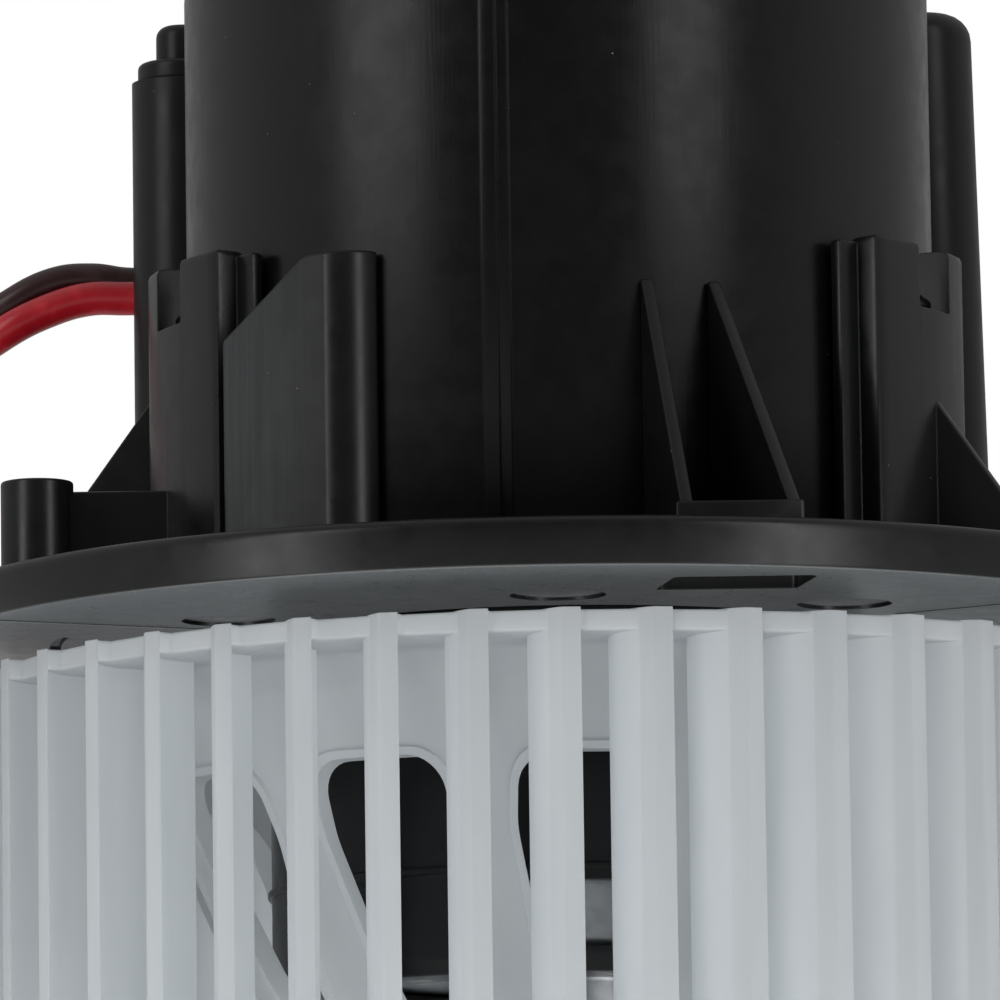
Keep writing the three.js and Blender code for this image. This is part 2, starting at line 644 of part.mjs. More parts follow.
function blowerWheel() {
  const blades = Array.from({ length: BLADE_COUNT }, (_, index) => blade(index));
  const hoop = ring(WHEEL_RADIUS - 1.6, WHEEL_RADIUS + 1.2, WHEEL_BOTTOM, WHEEL_BOTTOM + 6, BLADE_COUNT);
  const windows = Array.from({ length: WINDOW_COUNT }, (_, index) => coolingWindow(index));
  return join(cut(bell(), windows), hoop, blades);
}

const hubBush = () => ring(SHAFT_RADIUS + 0.12, 6.3, -65.9, -53.3, RUNNING);

// A push-on ring with three notches that grips the end of the shaft.
function wheelClip() {
  const disc = ring(SHAFT_RADIUS + 0.12, 8.4, -67.2, -66.3, RUNNING);
  const notches = THIRDS.map((third) => turnedTo(third, block([4.6, -1, -68], [6.6, 1, -66])));
  return cut(disc, notches);
}

// ---------- wiring ----------
const WIRE_RADIUS = 2.2;
const WIRE_GAP = 0.2;
const WIRE_ENTRIES = [[41, 51.1], [45.2, 53.6]]; // y and z of the red and the dark lead in the duct's side

function wirePassage(y, z) {
  const hole = rod(WIRE_RADIUS + WIRE_GAP, -8, 8, 12).rotate([0, 90, 0]);
  return hole.translate([DUCT.left, y, z]);
}

// One lead: up from its terminal, through the duct, out of the grommet and round to the plug.
function lead(points) {
  const stations = points.map(([x, y, z]) => new THREE.Vector3(x, y, z));
  const path = new THREE.CatmullRomCurve3(stations, false, 'centripetal');
  const sheath = new THREE.Shape().absarc(0, 0, WIRE_RADIUS, 0, 2 * Math.PI);
  const options = { extrudePath: path, steps: 48, curveSegments: 3, bevelEnabled: false };
  return toSolid(new THREE.ExtrudeGeometry(sheath, options));
}

const redLead = () => lead([
  [-8, 18, 61.6], [-8, 18.2, 64], [-8, 22, 66.4], [-8, 36, 63], [-10, 50, 60.5], [-20, 52.5, 59],
  [-34, 48, 54], [-42, 42.5, 51.8], [-48, 41, 51.1], [-56.5, 41, 51.1], [-61, 41, 51.1], [-66, 41, 49.8],
  [-72.8, 41, 46.4], [-90, 50, 34], [-99, 66, 14], [-92, 88, -4], [-72, 100, -9], [-46, 100, -8.5],
  [-37, 100, -16], [-34, 100, -23], [-29, 100, -26.4], [-25, 100, -26.6], [-21.5, 100, -26.6],
]);

const darkLead = () => lead([
  [8, 18, 61.6], [8, 18.2, 64], [8, 22, 67.6], [6, 36, 69], [-4, 49, 68.5], [-20, 52.5, 65.5],
  [-34, 49.8, 60.4], [-42, 47, 55.9], [-48, 45.4, 53.7], [-56.5, 45.2, 53.7], [-61, 45.2, 54.3],
  [-66, 45.2, 53.8], [-73, 45.2, 50.2], [-92, 51, 39], [-104, 67, 15], [-96, 92, -1], [-73, 105, -4.5],
  [-42, 103, -4], [-33, 100.5, -11], [-30.5, 100, -18], [-27.5, 100, -21], [-25, 100, -21.4],
  [-21.5, 100, -21.4],
]);

const PLUG = { start: -23, end: 1, y: 100, halfDepth: 5.5, bottom: -30, top: -18 };
const PLUG_LEVELS = [-26.6, -21.4]; // heights of the lower and the upper contact

function plugHousing() {
  const { start, end, y, halfDepth, bottom, top } = PLUG;
  const wall = 1.4;
  const body = block([start, y - halfDepth, bottom], [end, y + halfDepth, top]);
  const mouth = block(
    [start + 8, y - halfDepth + wall, bottom + wall],
    [end + 1, y + halfDepth - wall, top - wall],
  );
  const hole = rod(WIRE_RADIUS + WIRE_GAP, -3, 7, 12).rotate([0, 90, 0]);
  const holes = PLUG_LEVELS.map((z) => hole.translate([start, y, z]));
  const slits = PLUG_LEVELS.map((z) => block([start + 6, y - 1.6, z - 0.5], [start + 9, y + 1.6, z + 0.5]));
  const latch = block([start + 6, y - 3, top - 0.5], [start + 20, y + 3, top + 1.6]);
  return cut(join(body, latch), mouth, holes, slits);
}

const plugContact = () => block([PLUG.start + 7.4, -1.4, -0.35], [PLUG.end - 3, 1.4, 0.35]);

// ---------- assembly ----------
const assembly = new THREE.Group();
const housing = new THREE.Group();
const rotor = new THREE.Group();
assembly.add(housing, rotor);

function add(group, name, body, material, azimuth = 0) {
  const mesh = new THREE.Mesh(toGeometry(body), material);
  mesh.name = name;
  mesh.rotation.z = radians(azimuth);
  group.add(mesh);
  return mesh;
}

add(housing, 'mounting_flange', mountingFlange(), blackPlastic);
add(housing, 'motor_cover', motorCover(), blackPlastic);
add(housing, 'cooling_duct', coolingDuct(), blackPlastic);
add(housing, 'duct_lid', ductLid(), blackPlastic);
add(housing, 'wire_grommet', wireGrommet(), rubber);
add(housing, 'motor_cradle', motorCradle(), blackPlastic);
add(housing, 'isolator_ring', isolatorRing(), rubber);
THIRDS.forEach((third, index) => {
  add(housing, `rubber_pad_${index + 1}`, rubberPad(), rubber, 63 + third);
  add(housing, `yoke_clip_${index + 1}`, yokeClip(), brightSteel, -6.5 + third);
});
DUCT_SCREWS.forEach((place, index) => {
  add(housing, `duct_screw_${index + 1}`, ductScrew(), brightSteel).position.set(place.x, place.y, 0);
});

add(housing, 'motor_yoke', motorYoke(), yokeSteel);
add(housing, 'motor_end_plate', endPlate(), yokeSteel);
add(housing, 'field_magnet_left', fieldMagnet(), ferrite, -90);
add(housing, 'field_magnet_right', fieldMagnet(), ferrite, 90);
add(housing, 'lower_bearing', bearing(-49.6), bronze);
add(housing, 'upper_bearing', bearing(53), bronze);
add(housing, 'lower_bearing_retainer', bearingRetainer(-43.3), brightSteel);
add(housing, 'upper_bearing_retainer', bearingRetainer(59.2), brightSteel);

add(housing, 'brush_card', brushCard(), cardPlastic);
[['front', 0], ['back', 180]].forEach(([side, azimuth]) => {
  add(housing, `brush_holder_${side}`, brushHolder(), brass, azimuth);
  add(housing, `carbon_brush_${side}`, carbonBrush(), carbon, azimuth);
  add(housing, `brush_spring_${side}`, brushSpring(), brightSteel, azimuth);
});
[['left', -17], ['right', 17]].forEach(([side, x], index) => {
  add(housing, `suppression_choke_${side}`, suppressionChoke(), copper).position.set(x, 0, 47.2);
  const [terminalX, terminalY] = TERMINALS[index];
  add(housing, `terminal_${side}`, terminal(), brass).position.set(terminalX, terminalY, 0);
});

add(housing, 'red_wire', redLead(), redSheath);
add(housing, 'dark_wire', darkLead(), darkSheath);
add(housing, 'plug_housing', plugHousing(), blackPlastic);
['lower', 'upper'].forEach((level, index) => {
  add(housing, `plug_contact_${level}`, plugContact(), brass).position.set(0, PLUG.y, PLUG_LEVELS[index]);
});

add(rotor, 'blower_wheel', blowerWheel(), wheelPlastic);
add(rotor, 'hub_bush', hubBush(), brass);
add(rotor, 'wheel_clip', wheelClip(), brightSteel);
add(rotor, 'motor_shaft', motorShaft(), brightSteel);
add(rotor, 'armature_core', armatureCore(), laminations);
add(rotor, 'armature_winding', armatureWinding(), copper);
add(rotor, 'commutator', commutator(), copper);
add(rotor, 'thrust_washer_lower', thrustWasher(-51.2), brightSteel);
add(rotor, 'thrust_washer_upper', thrustWasher(60.4), brightSteel);

assembly.position.z = -SHAFT_BOTTOM;

export default assembly;
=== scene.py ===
import math

import bmesh
import bpy
from mathutils import Matrix, Vector


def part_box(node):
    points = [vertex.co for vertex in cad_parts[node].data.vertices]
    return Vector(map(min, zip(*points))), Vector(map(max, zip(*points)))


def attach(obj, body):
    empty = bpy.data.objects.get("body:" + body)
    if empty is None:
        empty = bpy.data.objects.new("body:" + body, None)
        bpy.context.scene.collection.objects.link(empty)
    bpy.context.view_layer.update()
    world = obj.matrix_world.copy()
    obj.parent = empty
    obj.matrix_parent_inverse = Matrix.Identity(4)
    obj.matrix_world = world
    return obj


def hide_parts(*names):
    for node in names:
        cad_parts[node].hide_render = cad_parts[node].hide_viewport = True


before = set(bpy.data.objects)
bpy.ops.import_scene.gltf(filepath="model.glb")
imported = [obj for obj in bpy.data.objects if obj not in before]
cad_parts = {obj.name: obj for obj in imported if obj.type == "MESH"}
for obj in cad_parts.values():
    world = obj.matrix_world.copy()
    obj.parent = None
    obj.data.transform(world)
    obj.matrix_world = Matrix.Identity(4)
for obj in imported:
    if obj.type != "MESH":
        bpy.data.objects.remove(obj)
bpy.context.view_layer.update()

MM = 0.001
SEAT = Vector((0, 0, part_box("mounting_flange")[0].z / MM))  # where the seating face lies in the frame


# ---------- sizes taken from the frame ----------
def low(node):
    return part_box(node)[0] / MM - SEAT


def high(node):
    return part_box(node)[1] / MM - SEAT


HOOP_PROUD = 1.2  # the lower hoop stands out this far past the blades
HOOP_HEIGHT = 6.0
WHEEL_RADIUS = -low("blower_wheel").y - HOOP_PROUD
WHEEL_TOP = high("blower_wheel").z
WHEEL_BOTTOM = low("blower_wheel").z
BLADE_COUNT = 43
PITCH = 360 / BLADE_COUNT
THIRDS = (0, 120, 240)
FIRST_BLADE = -49.0  # azimuth of one blade tip

FLANGE_RADIUS = -low("mounting_flange").y
TOWER_TOP = high("mounting_flange").z
TURN = -3.2  # azimuth of the flange's plane of symmetry
RIM_TOP = 6.1
RIM_DRAFT = 0.5  # the rim is this much smaller at its foot
RIM_WALL = 3.4
PLATE = 3.0

COVER_RADIUS = high("motor_cover").y
COVER_BOTTOM = low("motor_cover").z
COVER_TOP = high("motor_cover").z
WALL = 2.2
GAP = 0.3

DUCT_LEFT = low("cooling_duct").x
DUCT_RIGHT = high("cooling_duct").x
DUCT_FRONT = low("cooling_duct").y
DUCT_BACK = high("cooling_duct").y
DUCT_TOP = high("cooling_duct").z
LID_BOTTOM = low("duct_lid").z
LID_END = high("duct_lid").x
DUCT_SEAM = LID_BOTTOM - 0.2

CRADLE_RADIUS = 37.1
CRADLE_BOTTOM = low("motor_cradle").z
CRADLE_TOP = high("motor_cradle").z
CRADLE_LIP = high("motor_cradle").y
YOKE_RADIUS = high("motor_yoke").x
YOKE_TOP = high("motor_yoke").z
YOKE_NOSE = low("motor_yoke").z
SHAFT_RADIUS = high("motor_shaft").x
WIRE_RADIUS = 2.2
WIRE_GAP = 0.2

# The shield of the flange, drawn around the front radius
SHIELD_LEFT = -17.8
SHIELD_RIGHT = 1.7
SHIELD_FRONT = 52.4
SHIELD_TOP = 43.6
SHIELD_WALL = 1.8
SHIELD_ROLL = 5.5  # radius of its right side, which rolls back to the cover
SHIELD_AZIMUTH = -30.0

# ---------- outlines ----------
def spot(radius, azimuth, z=0.0):
    angle = math.radians(azimuth)
    return Vector((radius * math.sin(angle), -radius * math.cos(angle), z))


def arc(centre, radius, start, end, steps=8):
    """Points on an arc, with angles in degrees from +X."""
    angles = [math.radians(start + (end - start) * i / steps) for i in range(steps + 1)]
    return [(centre[0] + radius * math.cos(a), centre[1] + radius * math.sin(a)) for a in angles]


def rounded(corners, radius, steps=4):
    """A closed outline with rounded corners. A corner's third number is its own radius."""
    outline = []
    for i, corner in enumerate(corners):
        here = Vector(corner[:2])
        to_last = Vector(corners[i - 1][:2]) - here
        to_next = Vector(corners[(i + 1) % len(corners)][:2]) - here
        own = corner[2] if len(corner) > 2 else radius
        half = to_last.angle(to_next) / 2
        if own <= 0 or half > math.radians(87):
            outline.append(tuple(here))
            continue
        reach = min(own / math.tan(half), 0.48 * to_last.length, 0.48 * to_next.length)
        own = reach * math.tan(half)
        middle = here + (to_last.normalized() + to_next.normalized()).normalized() * own / math.sin(half)
        start = here + to_last.normalized() * reach - middle
        end = here + to_next.normalized() * reach - middle
        turn = start.angle_signed(end)
        for step in range(steps + 1):
            outline.append(tuple(middle + Matrix.Rotation(-turn * step / steps, 2) @ start))
    return outline


def oval(half_width, half_height, steps=8):
    """A slot outline with round ends, longer along its second axis."""
    shift = half_height - half_width
    return arc((0, shift), half_width, 0, 180, steps) + arc((0, -shift), half_width, 180, 360, steps)


# ---------- solids ----------
def in_scene(name, data):
    piece = bpy.data.objects.new(name, data)
    bpy.context.scene.collection.objects.link(piece)
    return piece


def new_object(name, points, faces):
    mesh = bpy.data.meshes.new(name)
    mesh.from_pydata([(Vector(point) + SEAT) * MM for point in points], [], faces)
    return in_scene(name, mesh)


def baked(piece):
    """Applies the piece's modifiers."""
    graph = bpy.context.evaluated_depsgraph_get()
    old = piece.data
    new = bpy.data.meshes.new_from_object(piece.evaluated_get(graph))
    piece.modifiers.clear()
    piece.data = new
    bpy.data.meshes.remove(old)
    return piece


def cleaned(piece):
    """Merges doubled corners and turns every face outwards."""
    shape = bmesh.new()
    shape.from_mesh(piece.data)
    bmesh.ops.remove_doubles(shape, verts=shape.verts, dist=1e-3 * MM)
    bmesh.ops.recalc_face_normals(shape, faces=shape.faces)
    shape.to_mesh(piece.data)
    shape.free()
    return piece


def loft(name, sections, endless=False):
    """A solid through closed outlines of equal length, capped at its ends or joined end to start."""
    count = len(sections[0])
    points = [point for section in sections for point in section]
    faces = []
    for s in range(len(sections) if endless else len(sections) - 1):
        here = s * count
        there = (s + 1) % len(sections) * count
        for i in range(count):
            j = (i + 1) % count
            faces.append((here + i, here + j, there + j, there + i))
    if not endless:
        faces.append(tuple(range(count)))
        faces.append(tuple(range(len(points) - count, len(points))))
    return cleaned(new_object(name, points, faces))


def turned(name, profile, segments=96):
    """A closed profile of (radius, z), turned about the shaft."""
    sections = []
    for s in range(segments):
        azimuth = 360 * s / segments
        sections.append([spot(radius, azimuth, z) for radius, z in profile])
    return loft(name, sections, endless=True)


def ring(name, inner, outer, bottom, top, edge=0.0, segments=96):
    corners = [(inner, bottom), (outer, bottom), (outer, top), (inner, top)]
    return turned(name, rounded(corners, edge, 3), segments)


def prism(name, outline, bottom, top):
    return loft(name, [[(x, y, z) for x, y in outline] for z in (bottom, top)])


def softened(piece, width, segments=2):
    """Rounds the sharp edges of a simple solid."""
    if not width:
        return piece
    bevel = piece.modifiers.new("edge", "BEVEL")
    bevel.width = width * MM
    bevel.segments = segments
    bevel.limit_method = "ANGLE"
    bevel.angle_limit = math.radians(40)
    return baked(piece)


def moved(piece, shift=(0, 0, 0), azimuth=0.0):
    turn = Matrix.Rotation(math.radians(azimuth), 4, "Z")
    piece.data.transform(turn @ Matrix.Translation(Vector(shift) * MM))
    return piece


def rod(name, radius, bottom, top, edge=0.0, segments=32, place=(0, 0)):
    corners = [(0, bottom, 0), (radius, bottom), (radius, top), (0, top, 0)]
    return moved(turned(name, rounded(corners, edge, 3), segments), (place[0], place[1], 0))


def block(name, start, end, edge=0.0):
    outline = [(start[0], start[1]), (end[0], start[1]), (end[0], end[1]), (start[0], end[1])]
    return softened(prism(name, outline, start[2], end[2]), edge)


def arc_wall(name, inner, outer, start, end, bottom, top, edge=0.0):
    """A wall that follows a circle about the shaft from one azimuth to another."""
    steps = max(2, round((end - start) / 2.5))
    outline = arc((0, 0), outer, start - 90, end - 90, steps)
    outline += arc((0, 0), inner, end - 90, start - 90, steps)
    return softened(prism(name, outline, bottom, top), edge)


def board(name, outline, azimuth, thickness, edge=0.25):
    """A flat board that stands on a radius. Its outline is in (radius, z)."""
    sections = [[(side * thickness / 2, -radius, z) for radius, z in outline] for side in (-1, 1)]
    return moved(softened(loft(name, sections), edge), azimuth=azimuth)


def gathered(pieces):
    """One object of several solids that don't touch."""
    shape = bmesh.new()
    for piece in pieces:
        shape.from_mesh(piece.data)
    shape.to_mesh(pieces[0].data)
    shape.free()
    for piece in pieces[1:]:
        bpy.data.objects.remove(piece)
    return pieces[0]


def combined(piece, operation, tools):
    for tool in tools:
        change = piece.modifiers.new("combine", "BOOLEAN")
        change.operation = operation
        change.solver = "MANIFOLD"
        change.object = tool
        baked(piece)
        bpy.data.objects.remove(tool)
    return piece


def joined(piece, *tools):
    return combined(piece, "UNION", tools)


def cut(piece, *tools):
    return combined(piece, "DIFFERENCE", tools)


# ---------- shaders ----------
class Shader:
    """Builds the node tree of one material, or of a world. Feature sizes are in millimetres."""

    def __init__(self, name, kind=bpy.data.materials):
        self.owner = kind.new(name)
        self.owner.use_nodes = True
        self.tree = self.owner.node_tree
        self.tree.nodes.clear()
        self.place = self.node("ShaderNodeTexCoord").outputs["Object"]

    def feed(self, socket, value):
        if isinstance(value, bpy.types.NodeSocket):
            self.tree.links.new(value, socket)
        else:
            socket.default_value = value

    def node(self, kind, inputs=None, **settings):
        made = self.tree.nodes.new(kind)
        for name, value in settings.items():
            setattr(made, name, value)
        for name, value in (inputs or {}).items():
            self.feed(made.inputs[name], value)
        return made

    def stretched(self, stretch):
        return self.node("ShaderNodeMapping", {"Vector": self.place, "Scale": stretch}).outputs["Vector"]

    def noise(self, size, detail=2.0, stretch=(1, 1, 1)):
        inputs = {"Vector": self.stretched(stretch), "Scale": 1 / (size * MM), "Detail": detail}
        return self.node("ShaderNodeTexNoise", inputs).outputs["Fac"]

    def split(self, vector):
        return self.node("ShaderNodeSeparateXYZ", {"Vector": vector}).outputs

    def height(self):
        return self.split(self.place)["Z"]

    def normal(self):
        return self.node("ShaderNodeNewGeometry").outputs["Normal"]

    def soft_normal(self, radius):
        return self.node("ShaderNodeBevel", {"Radius": radius * MM}, samples=4).outputs["Normal"]

    def remap(self, value, start, end, low_result, high_result):
        inputs = {
            "Value": value, "From Min": start, "From Max": end, "To Min": low_result, "To Max": high_result,
        }
        return self.node("ShaderNodeMapRange", inputs).outputs["Result"]

    def maths(self, operation, first, second):
        return self.node("ShaderNodeMath", {0: first, 1: second}, operation=operation).outputs[0]

    def times(self, first, second):
        return self.maths("MULTIPLY", first, second)

    def mixed(self, share, first, second):
        made = self.node("ShaderNodeMix", data_type="RGBA")
        colours = [socket for socket in made.inputs if socket.type == "RGBA"]
        self.feed(made.inputs[0], share)
        self.feed(colours[0], first)
        self.feed(colours[1], second)
        return [socket for socket in made.outputs if socket.type == "RGBA"][0]

    def specks(self, spacing, radius, share):
        """Round specks: a share of the cells of a grid carries one each."""
        cells = self.node("ShaderNodeTexVoronoi", {"Vector": self.place, "Scale": 1 / (spacing * MM)})
        near = self.remap(cells.outputs["Distance"], radius / spacing, 0.6 * radius / spacing, 0.0, 1.0)
        pick = self.node("ShaderNodeSeparateColor", {"Color": cells.outputs["Color"]}).outputs[0]
        return self.times(near, self.maths("LESS_THAN", pick, share))

    def edge(self, radius):
        """1 at outer edges and in corners, 0 on open faces."""
        inputs = {0: self.soft_normal(radius), 1: self.normal()}
        turn = self.node("ShaderNodeVectorMath", inputs, operation="DOT_PRODUCT").outputs["Value"]
        return self.remap(turn, 0.995, 0.8, 0.0, 1.0)

    def bump(self, height, depth, radius=0.0):
        inputs = {"Height": height, "Distance": depth * MM, "Strength": 1.0}
        if radius:
            inputs["Normal"] = self.soft_normal(radius)
        return self.node("ShaderNodeBump", inputs).outputs["Normal"]

    def principled(self, colour, roughness, more):
        inputs = {"Base Color": colour, "Roughness": roughness, **more}
        return self.node("ShaderNodeBsdfPrincipled", inputs).outputs[0]

    def output(self, surface):
        self.node("ShaderNodeOutputMaterial", {"Surface": surface})
        return self.owner

    def finished(self, colour, roughness, normal, more=None):
        return self.output(self.principled(colour, roughness, {"Normal": normal, **(more or {})}))


def grey(value, tint=(1, 1, 1)):
    return (value * tint[0], value * tint[1], value * tint[2], 1)


# ---------- materials ----------
COOL = (0.94, 1.0, 1.03)  # the plastics lean a little to blue-green
SHIELD_SHEEN_START = 7  # where the painted sheen on the shield's face starts, above the mouldings at its foot
PAINTED_FOOT_SHADE = (12, 24)  # heights between which the painted shade on the cover's foot fades out and its wall takes on its full gloss


def shield_face(shader):
    """1 on the flat front of the flange's shield, 0 elsewhere; and the place across it."""
    inputs = {"Vector": shader.place, "Angle": math.radians(-SHIELD_AZIMUTH)}
    turned_back = shader.node("ShaderNodeVectorRotate", inputs, rotation_type="Z_AXIS")
    parts = shader.split(turned_back.outputs["Vector"])
    face = shader.remap(parts["Y"], (0.05 - SHIELD_FRONT) * MM, (0.02 - SHIELD_FRONT) * MM, 0, 1)
    face = shader.times(face, shader.maths("LESS_THAN", parts["X"], 0.0))
    face = shader.times(face, shader.maths("GREATER_THAN", parts["X"], SHIELD_LEFT * MM))
    face = shader.times(face, shader.maths("GREATER_THAN", parts["Z"], (SEAT.z + SHIELD_SHEEN_START) * MM))
    return face, parts["X"]


def painted_shield_sheen(shader, colour, matt):
    """The shield's face is brushed and duller, and painted paler, most at its left: a painted reflection of
    the light. This fades towards its rolled side.
    """
    face, across = shield_face(shader)
    sheen_streaks = shader.remap(shader.noise(0.5, 3, (1, 1, 0.02)), 0.35, 0.65, 0.8, 1.2)
    strength = shader.times(shader.remap(across, -18 * MM, -3 * MM, 0.9, 0.1), sheen_streaks)
    # Painted reflection: the face is painted pale grey, in brushed streaks.
    colour = shader.mixed(shader.times(face, strength), colour, grey(0.04, COOL))
    return colour, shader.maths("ADD", matt, shader.times(face, 0.25))


def moulded_plastic(
    name, tone, roughness, grain=0.006, brushed=False, under=1.0, painted_foot_shade=False, shield=False,
):
    """Black satin moulding: fine grain, cloudy gloss, a painted highlight on its edges and corners, and
    dust.

    Faces that look down are painted `under` times as pale: painted light from below. With a painted foot
    shade, the lowest part hardly shines: painted shade where the flange hides its surroundings.
    """
    shader = Shader(name)
    cloud = shader.remap(shader.noise(14, 4), 0.35, 0.65, 0, 1)
    colour = shader.mixed(cloud, grey(tone * 0.85, COOL), grey(tone * 1.15, COOL))
    # Edges and corners are painted paler: a painted highlight.
    colour = shader.mixed(shader.times(shader.edge(0.25), 0.35), colour, grey(tone * 3.5, COOL))
    # Downward faces are painted paler: painted light from below.
    if under > 1:
        painted_underside_light = shader.remap(shader.split(shader.normal())["Z"], -0.5, -0.9, 0, 1)
        colour = shader.mixed(painted_underside_light, colour, grey(tone * under, COOL))
    fine = shader.noise(0.35, 3, (1, 1, 0.03) if brushed else (1, 1, 1))
    matt = shader.remap(shader.noise(3.5, 3), 0.3, 0.7, roughness - 0.04, roughness + 0.05)
    # The shield gets a painted sheen.
    if shield:
        colour, matt = painted_shield_sheen(shader, colour, matt)
    dust = shader.maths("ADD", shader.specks(1.8, 0.07, 0.10), shader.specks(6, 0.12, 0.12))
    colour = shader.mixed(shader.times(dust, 0.7), colour, grey(0.5))
    gloss = 0.3
    # The cover's lowest part reflects less: painted shade where the flange and its shield hide the
    # surroundings.
    if painted_foot_shade:
        foot = [(SEAT.z + level) * MM for level in PAINTED_FOOT_SHADE]
        gloss = shader.remap(shader.height(), *foot, 0.09, gloss)
    normal = shader.bump(shader.maths("ADD", fine, dust), grain * (1.6 if brushed else 1), radius=0.35)
    return shader.finished(colour, matt, normal, {"Specular IOR Level": gloss})


def milky_plastic(name, tone, glow):
    """Pale translucent moulding: flow lines, soft gloss, light that passes through and edges painted near
    white as a highlight.
    """
    shader = Shader(name)
    flow = shader.noise(9, 3, (1, 1, 0.25))
    light = grey(tone * 1.03, (0.968, 1.0, 1.018))
    shade = grey(tone * 0.96, (0.96, 1.0, 1.024))
    colour = shader.mixed(shader.remap(flow, 0.3, 0.7, 0, 1), light, shade)
    # Edges and corners are painted near white: a painted highlight where light shines through the thin
    # edges.
    colour = shader.mixed(shader.times(shader.edge(0.3), 0.5), colour, grey(0.9))
    dust = shader.specks(5, 0.12, 0.05)
    colour = shader.mixed(shader.times(dust, 0.5), colour, grey(0.25))
    matt = shader.remap(shader.noise(5, 3), 0.3, 0.7, 0.3, 0.42)
    normal = shader.bump(shader.noise(0.8, 2), 0.004, radius=0.3)
    body = shader.principled(colour, matt, {"Normal": normal})
    through = shader.node("ShaderNodeBsdfTranslucent", {"Color": colour, "Normal": normal}).outputs[0]
    return shader.output(shader.node("ShaderNodeMixShader", {0: glow, 1: body, 2: through}).outputs[0])


def soft_rubber(name, tone):
    """Matt rubber with a dusty bloom."""
    shader = Shader(name)
    bloom = shader.remap(shader.noise(2.5, 4), 0.4, 0.7, 0, 1)
    colour = shader.mixed(bloom, grey(tone), grey(tone * 2.2))
    normal = shader.bump(shader.noise(0.4, 3), 0.02, radius=0.3)
    matt = shader.remap(bloom, 0, 1, 0.7, 0.92)
    return shader.finished(colour, matt, normal)


def metal(name, tint, roughness, stretch=(1, 1, 1), size=0.4, depth=0.004, stain=0.6):
    """Metal with a grain along one direction, uneven gloss, stains and paler edges and corners."""
    shader = Shader(name)
    grain = shader.noise(size, 3, stretch)
    spots = shader.remap(shader.noise(4, 4), 0.45, 0.75, 0, 1)
    colour = shader.mixed(shader.times(spots, 1 - stain), grey(1, tint), grey(stain, tint))
    colour = shader.mixed(shader.times(shader.edge(0.2), 0.4), colour, grey(1.25, tint))
    matt = shader.remap(grain, 0.2, 0.8, roughness * 0.75, roughness * 1.3)
    normal = shader.bump(grain, depth, radius=0.15)
    return shader.finished(colour, matt, normal, {"Metallic": 1.0})


def stacked_metal(name, tint, layer, roughness, depth):
    """Metal with fine level lines, as stacked sheets or wound wire have."""
    shader = Shader(name)
    wave = shader.maths("SINE", shader.times(shader.height(), 2 * math.pi / (layer * MM)), 0)
    line = shader.remap(wave, -1, -0.3, 0, 1)
    colour = shader.mixed(line, grey(0.35, tint), grey(1, tint))
    colour = shader.mixed(shader.remap(shader.noise(3, 3), 0.4, 0.7, 0, 0.4), colour, grey(0.5, tint))
    normal = shader.bump(line, depth)
    matt = shader.remap(shader.noise(1.2, 2), 0.3, 0.7, roughness * 0.8, roughness * 1.2)
    return shader.finished(colour, matt, normal, {"Metallic": 0.9})


def pressed_powder(name, tone, roughness):
    """Grainy pressed material: ferrite or brush carbon."""
    shader = Shader(name)
    grains = shader.noise(0.3, 4)
    colour = shader.mixed(shader.remap(grains, 0.35, 0.7, 0, 1), grey(tone * 0.7), grey(tone * 1.6))
    colour = shader.mixed(shader.times(shader.edge(0.3), 0.5), colour, grey(tone * 2.5))
    matt = shader.remap(grains, 0.3, 0.7, roughness, roughness + 0.15)
    normal = shader.bump(grains, 0.03, radius=0.2)
    return shader.finished(colour, matt, normal)


def wire_sheath(name, colour, roughness):
    """Glossy cable sheath with a faint drawn grain, scuffs and dust."""
    shader = Shader(name)
    scuff = shader.remap(shader.noise(3, 4), 0.5, 0.75, 0, 1)
    lighter = tuple(min(1.0, part * 1.35 + 0.01) for part in colour) + (1,)
    paint = shader.mixed(scuff, tuple(colour) + (1,), lighter)
    dust = shader.specks(3, 0.08, 0.15)
    paint = shader.mixed(shader.times(dust, 0.5), paint, grey(0.5))
    matt = shader.remap(scuff, 0, 1, roughness, roughness + 0.15)
    normal = shader.bump(shader.noise(0.9, 2), 0.01)
    return shader.finished(paint, matt, normal)


MATERIALS = {
    "black_plastic": moulded_plastic("black_plastic", 0.006, 0.3),
    # under=16 paints the flange's underside paler: painted light from below.
    "flange_plastic": moulded_plastic("flange_plastic", 0.0045, 0.3, under=16, shield=True),
    "cover_plastic": moulded_plastic("cover_plastic", 0.0035, 0.27, brushed=True, painted_foot_shade=True),
    "duct_plastic": moulded_plastic("duct_plastic", 0.0035, 0.35),
    "card_plastic": moulded_plastic("card_plastic", 0.03, 0.6, 0.01),
    "plug_plastic": moulded_plastic("plug_plastic", 0.006, 0.38),
    "wheel_plastic": milky_plastic("wheel_plastic", 0.72, 0.5),
    "rubber": soft_rubber("rubber", 0.012),
    "yoke_steel": metal("yoke_steel", (0.40, 0.41, 0.42), 0.36, (0.25, 0.25, 1), 0.9, 0.012, 0.45),
    "bright_steel": metal("bright_steel", (0.72, 0.73, 0.74), 0.2),
    "brass": metal("brass", (0.66, 0.48, 0.22), 0.3),
    "bronze": metal("bronze", (0.42, 0.27, 0.13), 0.5, size=0.25, depth=0.02),
    "laminations": stacked_metal("laminations", (0.34, 0.35, 0.36), 0.5, 0.45, 0.03),
    "copper": stacked_metal("copper", (0.62, 0.26, 0.12), 0.7, 0.35, 0.12),
    "ferrite": pressed_powder("ferrite", 0.06, 0.55),
    "carbon": pressed_powder("carbon", 0.03, 0.45),
    "red_sheath": wire_sheath("red_sheath", (0.48, 0.010, 0.020), 0.28),
    "dark_sheath": wire_sheath("dark_sheath", (0.03, 0.006, 0.007), 0.3),
}


